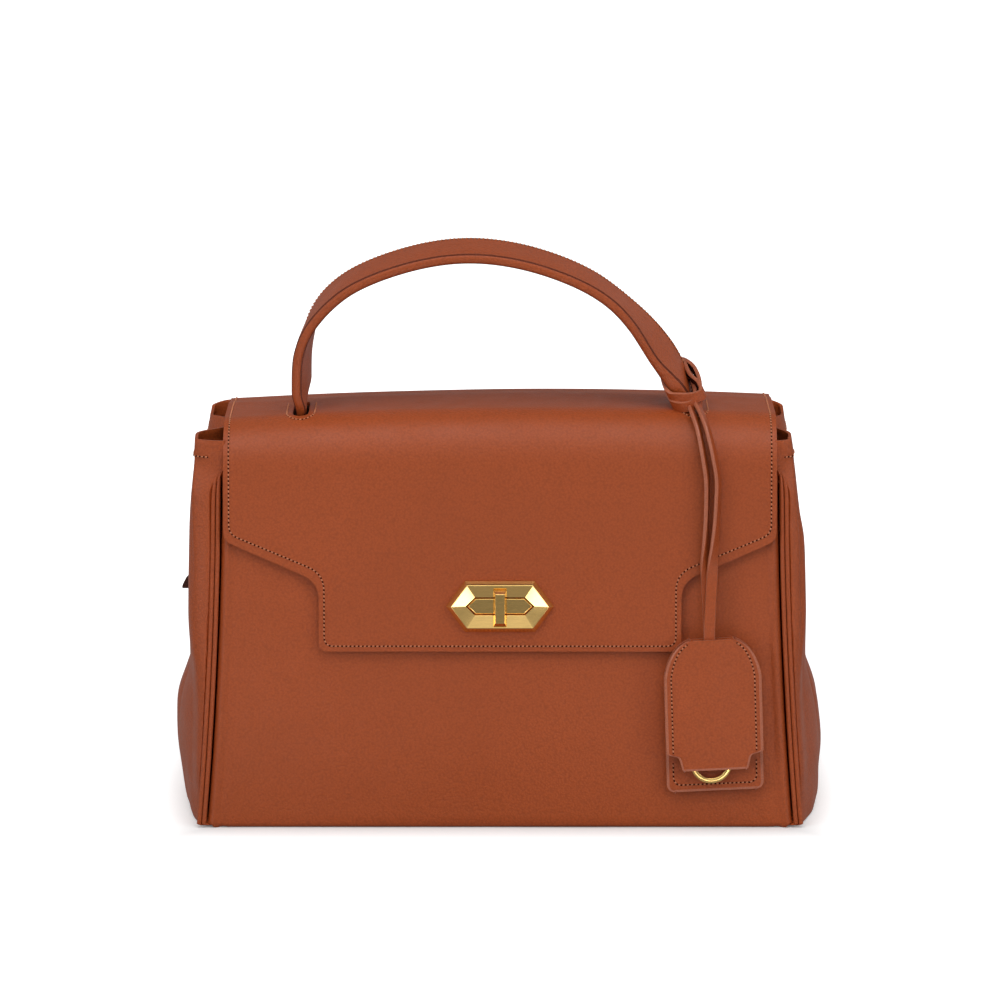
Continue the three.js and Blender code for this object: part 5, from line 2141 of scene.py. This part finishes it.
@dataclass
class ZipPocket:
    """The zipped divider between the two lobes."""

    finishes: Finishes
    tooth_pitch: float = 2.4

    def build(self) -> None:
        """Makes the divider's leaves, tape, teeth, slider and pull in the places that the frame gives."""
        for label in ("front", "back"):
            self.build_leaf(label)
        self.build_tape()
        self.build_teeth()
        self.build_slider()
        self.build_pull()

    @staticmethod
    def room(node: str) -> tuple[Vector, Vector]:
        """Lowest corner and size of a node, in millimetres."""
        low, high = corners(node)
        return low, high - low

    def build_leaf(self, label: str) -> None:
        """Makes one wall of the pocket as a slightly slack sheet."""
        low, size = self.room(f"divider_{label}")
        outwards = -1 if label == "front" else 1

        def place(column: int, row: int) -> Vector:
            """Point of the leaf's outer face."""
            across, up = column / 40, row / 24
            slack = 0.9 * math.sin(math.pi * across) * math.sin(math.pi * up)
            ripple = 0.4 * noise.noise(Vector((across * 5, up * 3, 2.0 + outwards)))
            y = low.y + size.y / 2 + outwards * (size.y / 2 + slack + ripple * math.sin(math.pi * across))
            return Vector((low.x + size.x * across, y, low.z + size.z * up))

        inside = Vector((0, -outwards * 400, 90))
        leaf = panel(f"pocket_leaf_{label}", (40, 24), place, inside, size.y, 0.2, [self.finishes.cloth])
        settle(leaf, Body.BAG, (), [f"divider_{label}"])

    def build_tape(self) -> None:
        """Makes the zip tape with a soft ridge along each edge."""
        low, size = self.room("zip_tape")

        def place(column: int, row: int) -> Vector:
            """Point of the tape's upper face."""
            ridge = 0.25 * bell(abs(lerp(-1, 1, row / 16)) - 0.86, 0.08)
            level = low.z + size.z - 0.25 + ridge
            return Vector((low.x + size.x * column / 60, low.y + size.y * row / 16, level))

        inside = Vector((0, low.y, low.z - 300))
        tape = panel("zip_tape_band", (60, 16), place, inside, size.z - 0.3, 0.15, [self.finishes.tape])
        settle(tape, Body.BAG, (), ["zip_tape"])

    def build_teeth(self) -> None:
        """Makes the interlocked teeth from one bevelled tooth, copied along the zip."""
        low, size = self.room("zip_teeth")
        pitch = self.tooth_pitch
        teeth = add_block("zip_teeth_row", Vector((pitch * 0.42, size.y * 0.62, size.z)))
        modify(teeth, "BEVEL", width=0.25 * MM, segments=1)
        pairs = (int(size.x / (pitch / 2)) - 1) // 2
        copies = ((2, (pitch / 2 * MM, size.y * 0.36 * MM, 0)), (pairs, (pitch * MM, 0, 0)))
        for count, step in copies:
            modify(
                teeth, "ARRAY", count=count, use_relative_offset=False, use_constant_offset=True,
                constant_offset_displace=step,
            )
        left = low.x + (size.x - pitch * (pairs - 0.5)) / 2
        teeth.location = Vector((left, low.y + size.y * 0.32, low.z + size.z / 2)) * MM
        activate(teeth)
        bpy.ops.object.transform_apply(location=True, rotation=False, scale=False)
        smooth(teeth, 30.0)
        settle(teeth, Body.BAG, [self.finishes.plate], ["zip_teeth"])

    def build_slider(self) -> None:
        """Makes the slider with a waist and a bridge for the pull."""
        low, size = self.room("zip_slider")
        middle = low + size / 2
        outline = ((-0.5, 0.32), (-0.4, 0.42), (-0.1, 0.36), (0.1, 0.36), (0.34, 0.5), (0.5, 0.44))
        stations = []
        for share, width in outline:
            centre = Vector((middle.x + share * size.x, middle.y, middle.z))
            stations.append(Station(centre, Vector((0, width * size.y, 0)), Vector((0, 0, 1))))
        top = size.z / 2
        right = [(1, -top), (1, top * 0.2), (0.8, top * 0.5), (0.3, top)]
        section = [(-1, -top), *right, *((-across, out) for across, out in reversed(right[1:]))]
        slider = sweep("zip_slider_body", stations, section)
        soften(slider, 0.2, 30.0)
        settle(slider, Body.ZIP, [self.finishes.plate], ["zip_slider"])

    def build_pull(self) -> None:
        """Makes the leather pull with rounded ends and a narrow neck."""
        low, size = self.room("zip_pull")

        def place(column: int, row: int) -> Vector:
            """Point of the pull's upper face."""
            share, across = row / 24, lerp(-1, 1, column / 8)
            neck = lerp(0.62, 1.0, smoothstep(1 - abs(share - 0.42) / 0.58))
            round_off = math.sqrt(max(0.0, 1 - (2 * share - 1) ** 8))
            half = size.y / 2 * neck * max(round_off, 0.35)
            level = low.z + size.z - 0.2 + 0.2 * (1 - across**2)
            return Vector((low.x + size.x * share, low.y + size.y / 2 + half * across, level))

        inside = Vector((low.x, low.y, low.z - 300))
        materials = [self.finishes.hide, self.finishes.edge]
        pull = panel("zip_pull_tab", (8, 24), place, inside, size.z - 0.25, 0.3, materials)
        settle(pull, Body.ZIP, (), ["zip_pull"])


@dataclass
class Studio:
    """Floor, light and camera at the photograph's angle."""

    camera_place: Triple = (0.0, -2.53837, 0.72238)
    camera_pitch: float = math.radians(12.5)
    lens: float = 177.195
    sensor: float = 36.0
    floor_size: float = 14.0
    floor_lift: float = 0.64
    front: float = 0.27
    sides: float = 0.47
    rear: float = 0.16
    top: float = 0.9
    glint: float = 4.5
    footprint: Pair = (0.15, 0.068)
    painted_contact_shade: float = 0.1
    aside: float = 0.1
    seen_grey: float = 0.86
    bounce_grey: float = 0.42
    aim: Triple = (0.0, 0.0, 0.12)
    lights: Sequence[tuple[str, Triple, Pair, float]] = (
        ("Front light", (0.0, -2.1, 1.55), (2.2, 2.0), 7.5),
        ("Upper light", (0.0, -0.85, 1.9), (1.8, 1.0), 15.0),
        ("Left light", (-1.7, -1.5, 0.75), (0.9, 1.3), 9.2),
        ("Right light", (1.8, -1.3, 0.7), (0.9, 1.3), 8.0),
    )

    def build(self) -> None:
        """Sets up everything that isn't part of the bag."""
        self.build_camera()
        self.build_floor()
        self.build_world()
        self.build_lights()
        bpy.context.scene.view_settings.view_transform = "Standard"

    def build_camera(self) -> None:
        """Makes the camera."""
        data = bpy.data.cameras.new("Camera")
        data.lens = self.lens
        data.sensor_width = self.sensor
        data.clip_end = 50.0
        camera = bpy.data.objects.new("Camera", data)
        camera.location = self.camera_place
        camera.rotation_euler = (math.pi / 2 - self.camera_pitch, 0.0, 0.0)
        bpy.context.scene.collection.objects.link(camera)
        bpy.context.scene.camera = camera

    def build_floor(self) -> None:
        """Makes a pale floor that shows white where it is lit and keeps the bag's shadow, darkened by a
        painted contact shade round the bag's footprint.
        """
        bpy.ops.object.select_all(action="DESELECT")
        bpy.ops.mesh.primitive_plane_add(size=self.floor_size)
        floor = bpy.context.active_object
        floor.name = "studio_floor"
        bench = MaterialBench("Studio floor")
        rays = bench.add("ShaderNodeLightPath")
        seen = bench.seen(rays)
        place = bench.add("ShaderNodeSeparateXYZ", {0: bench.place})
        side, depth = bench.math("ABSOLUTE", place.outputs["X"]), place.outputs["Y"]
        away = bench.math("ADD", bench.math("POWER", side, 2.0), bench.math("POWER", depth, 2.0))
        lift = bench.spread(bench.math("POWER", away, 0.5), 0.3, 0.7, self.floor_lift, 1.0)
        # Round the bag's footprint the glow falls to a tenth within 30 mm, so the floor there is darker than
        # elsewhere under the same light: painted contact shade.
        beside = bench.larger(bench.math("SUBTRACT", side, self.footprint[0]), 0.0)
        before = bench.math("SUBTRACT", bench.math("ABSOLUTE", depth), self.footprint[1])
        shadow = bench.spread(bench.larger(beside, before), 0.0, 0.03, self.painted_contact_shade, 1.0)
        glow = bench.times(seen, bench.times(lift, shadow))
        finish = {
            "Base Color": bench.mix(seen, shade(WHITE, self.bounce_grey), shade(WHITE, self.seen_grey)),
            "Roughness": 1.0,
            "Specular IOR Level": 0.0,
            "Emission Color": shade(WHITE),
            # Glossy surfaces also see the floor's glowing patches: painted reflections.
            "Emission Strength": bench.larger(glow, self.mirror(bench, side, depth, rays)),
        }
        dress(floor, [bench.finish(finish)])

    def mirror(
        self, bench: NodeBench, side: Socket, depth: Socket, rays: Node
    ) -> Socket:
        """Painted reflections: a faint glow beside the bag and bright patches in front of it, which the floor
        shows only in glossy surfaces and which give the lock's gold facets their highlights.

        Args:
            bench: The floor's bench.
            side: Distance from the bag's middle to either side.
            depth: Distance behind the bag's middle.
            rays: The node that tells one kind of ray from another.

        Returns:
            The strength of the light.
        """
        aside = bench.spread(side, 0.05, 0.17, 0.0, self.aside)
        glint = bench.spread(side, 0.06, 0.11, 0.0, self.glint)
        glint = bench.times(glint, bench.spread(side, 0.2, 0.3, 1.0, 0.0))
        ahead = bench.times(bench.spread(depth, -0.62, -0.5), bench.spread(depth, -0.26, -0.2, 1.0, 0.0))
        return bench.times(bench.larger(aside, bench.times(glint, ahead)), rays.outputs["Is Glossy Ray"])

    def build_world(self) -> None:
        """Makes a surround that is white to the eye and lights the bag mostly from the sides."""
        world = bpy.data.worlds.new("Studio")
        bpy.context.scene.world = world
        world.use_nodes = True
        bench = NodeBench(world.node_tree)
        seen = bench.seen(bench.add("ShaderNodeLightPath"))
        place = bench.add("ShaderNodeTexCoord").outputs["Generated"]
        way = bench.add("ShaderNodeSeparateXYZ", {0: place}).outputs
        sides = bench.spread(bench.math("ABSOLUTE", way["X"]), 0.15, 0.75, self.front, self.sides)
        level = bench.larger(sides, bench.spread(way["Y"], -0.1, 0.7, 0.0, self.rear))
        around = bench.times(level, bench.spread(way["Z"], 0.3, 0.75, 1.0, self.top))
        background = world.node_tree.nodes["Background"]
        bench.fill(background, {"Color": shade(WHITE), "Strength": bench.larger(seen, around)})

    def build_lights(self) -> None:
        """Makes the soft lights: two broad ones over the front and one low on each side."""
        for name, place, size, power in self.lights:
            data = bpy.data.lights.new(name, "AREA")
            data.shape = "RECTANGLE"
            data.size, data.size_y = size
            data.energy = power
            lamp = bpy.data.objects.new(name, data)
            lamp.location = place
            lamp.rotation_euler = (Vector(self.aim) - Vector(place)).to_track_quat("-Z", "Y").to_euler()
            bpy.context.scene.collection.objects.link(lamp)


def dress_frame_nodes(finishes: Finishes) -> None:
    """Gives the rigid nodes of the frame that stay in view their materials."""
    by_slot = {
        Slot.LEATHER: finishes.hide, Slot.EDGE: finishes.edge, Slot.LINING: finishes.cloth,
        Slot.BOARD: finishes.board, Slot.BRASS: finishes.plate,
    }
    for part in frame["record"]["subparts"]:
        node = frame["nodes"][part["node"]]
        node.data.materials.clear()
        dress(node, [by_slot[Slot(part["material_slot"])]])


def main() -> None:
    """Builds the studio and the bag."""
    logging.basicConfig(level=logging.INFO, format="%(name)s %(message)s")
    bpy.ops.object.select_all(action="DESELECT")
    Studio().build()
    finishes = Finishes()
    dress_frame_nodes(finishes)
    form = Form()
    sewing = Sewing(finishes)
    Shell(form, finishes).build()
    Gusset(
        form, finishes, -1,
        belly=((0.0, 9.5), (4.0, 12.0), (18.0, 15.5), (33.0, 18.6), (50.0, 20.0), (64.0, 20.0), (85.0, 17.0)),
        front_lobe=((60.0, 14.0), (100.0, 14.2), (148.0, 14.8), (169.0, 14.2), (190.0, 12.0), (203.0, 11.0)),
        rear_lobe=((60.0, 14.0), (110.0, 12.0), (187.0, 9.3), (203.0, 7.0)),
        creases=(
            (0.05, 150.0, 60.0, 0.008, 0.8, 0.012), (0.3, 70.0, 40.0, -0.06, 0.9, 0.03),
            (0.82, 120.0, 60.0, 0.03, 1.0, 0.028),
        ),
    ).build(sewing)
    Gusset(
        form, finishes, 1,
        belly=(
            (0.0, 12.5), (6.0, 14.6), (18.0, 16.0), (31.0, 18.0), (48.0, 18.0), (65.0, 17.0), (80.0, 14.8),
        ),
        front_lobe=(
            (60.0, 11.0), (96.0, 11.4), (134.0, 11.9), (150.0, 11.2), (163.0, 9.0), (190.0, 6.0),
            (206.0, 3.5),
        ),
        rear_lobe=((60.0, 11.5), (110.0, 9.0), (187.0, 6.0), (203.0, 4.0)),
        creases=(
            (0.045, 145.0, 70.0, 0.012, 2.0, 0.013), (0.11, 130.0, 60.0, 0.02, 1.8, 0.022),
            (0.3, 62.0, 36.0, -0.08, 1.6, 0.028), (0.52, 48.0, 30.0, -0.06, 1.2, 0.028),
        ),
    ).build(sewing)
    SeamTab(finishes).build()
    Flap(form, finishes).build(sewing)
    handle = Handle(form, finishes)
    handle.build(sewing)
    Anchors(finishes).build()
    TurnLock(form, finishes).build()
    TagStrap(form, finishes, handle).build()
    KeyTag(form, finishes).build(sewing)
    ZipPocket(finishes).build()


if __name__ == "__main__":
    main()
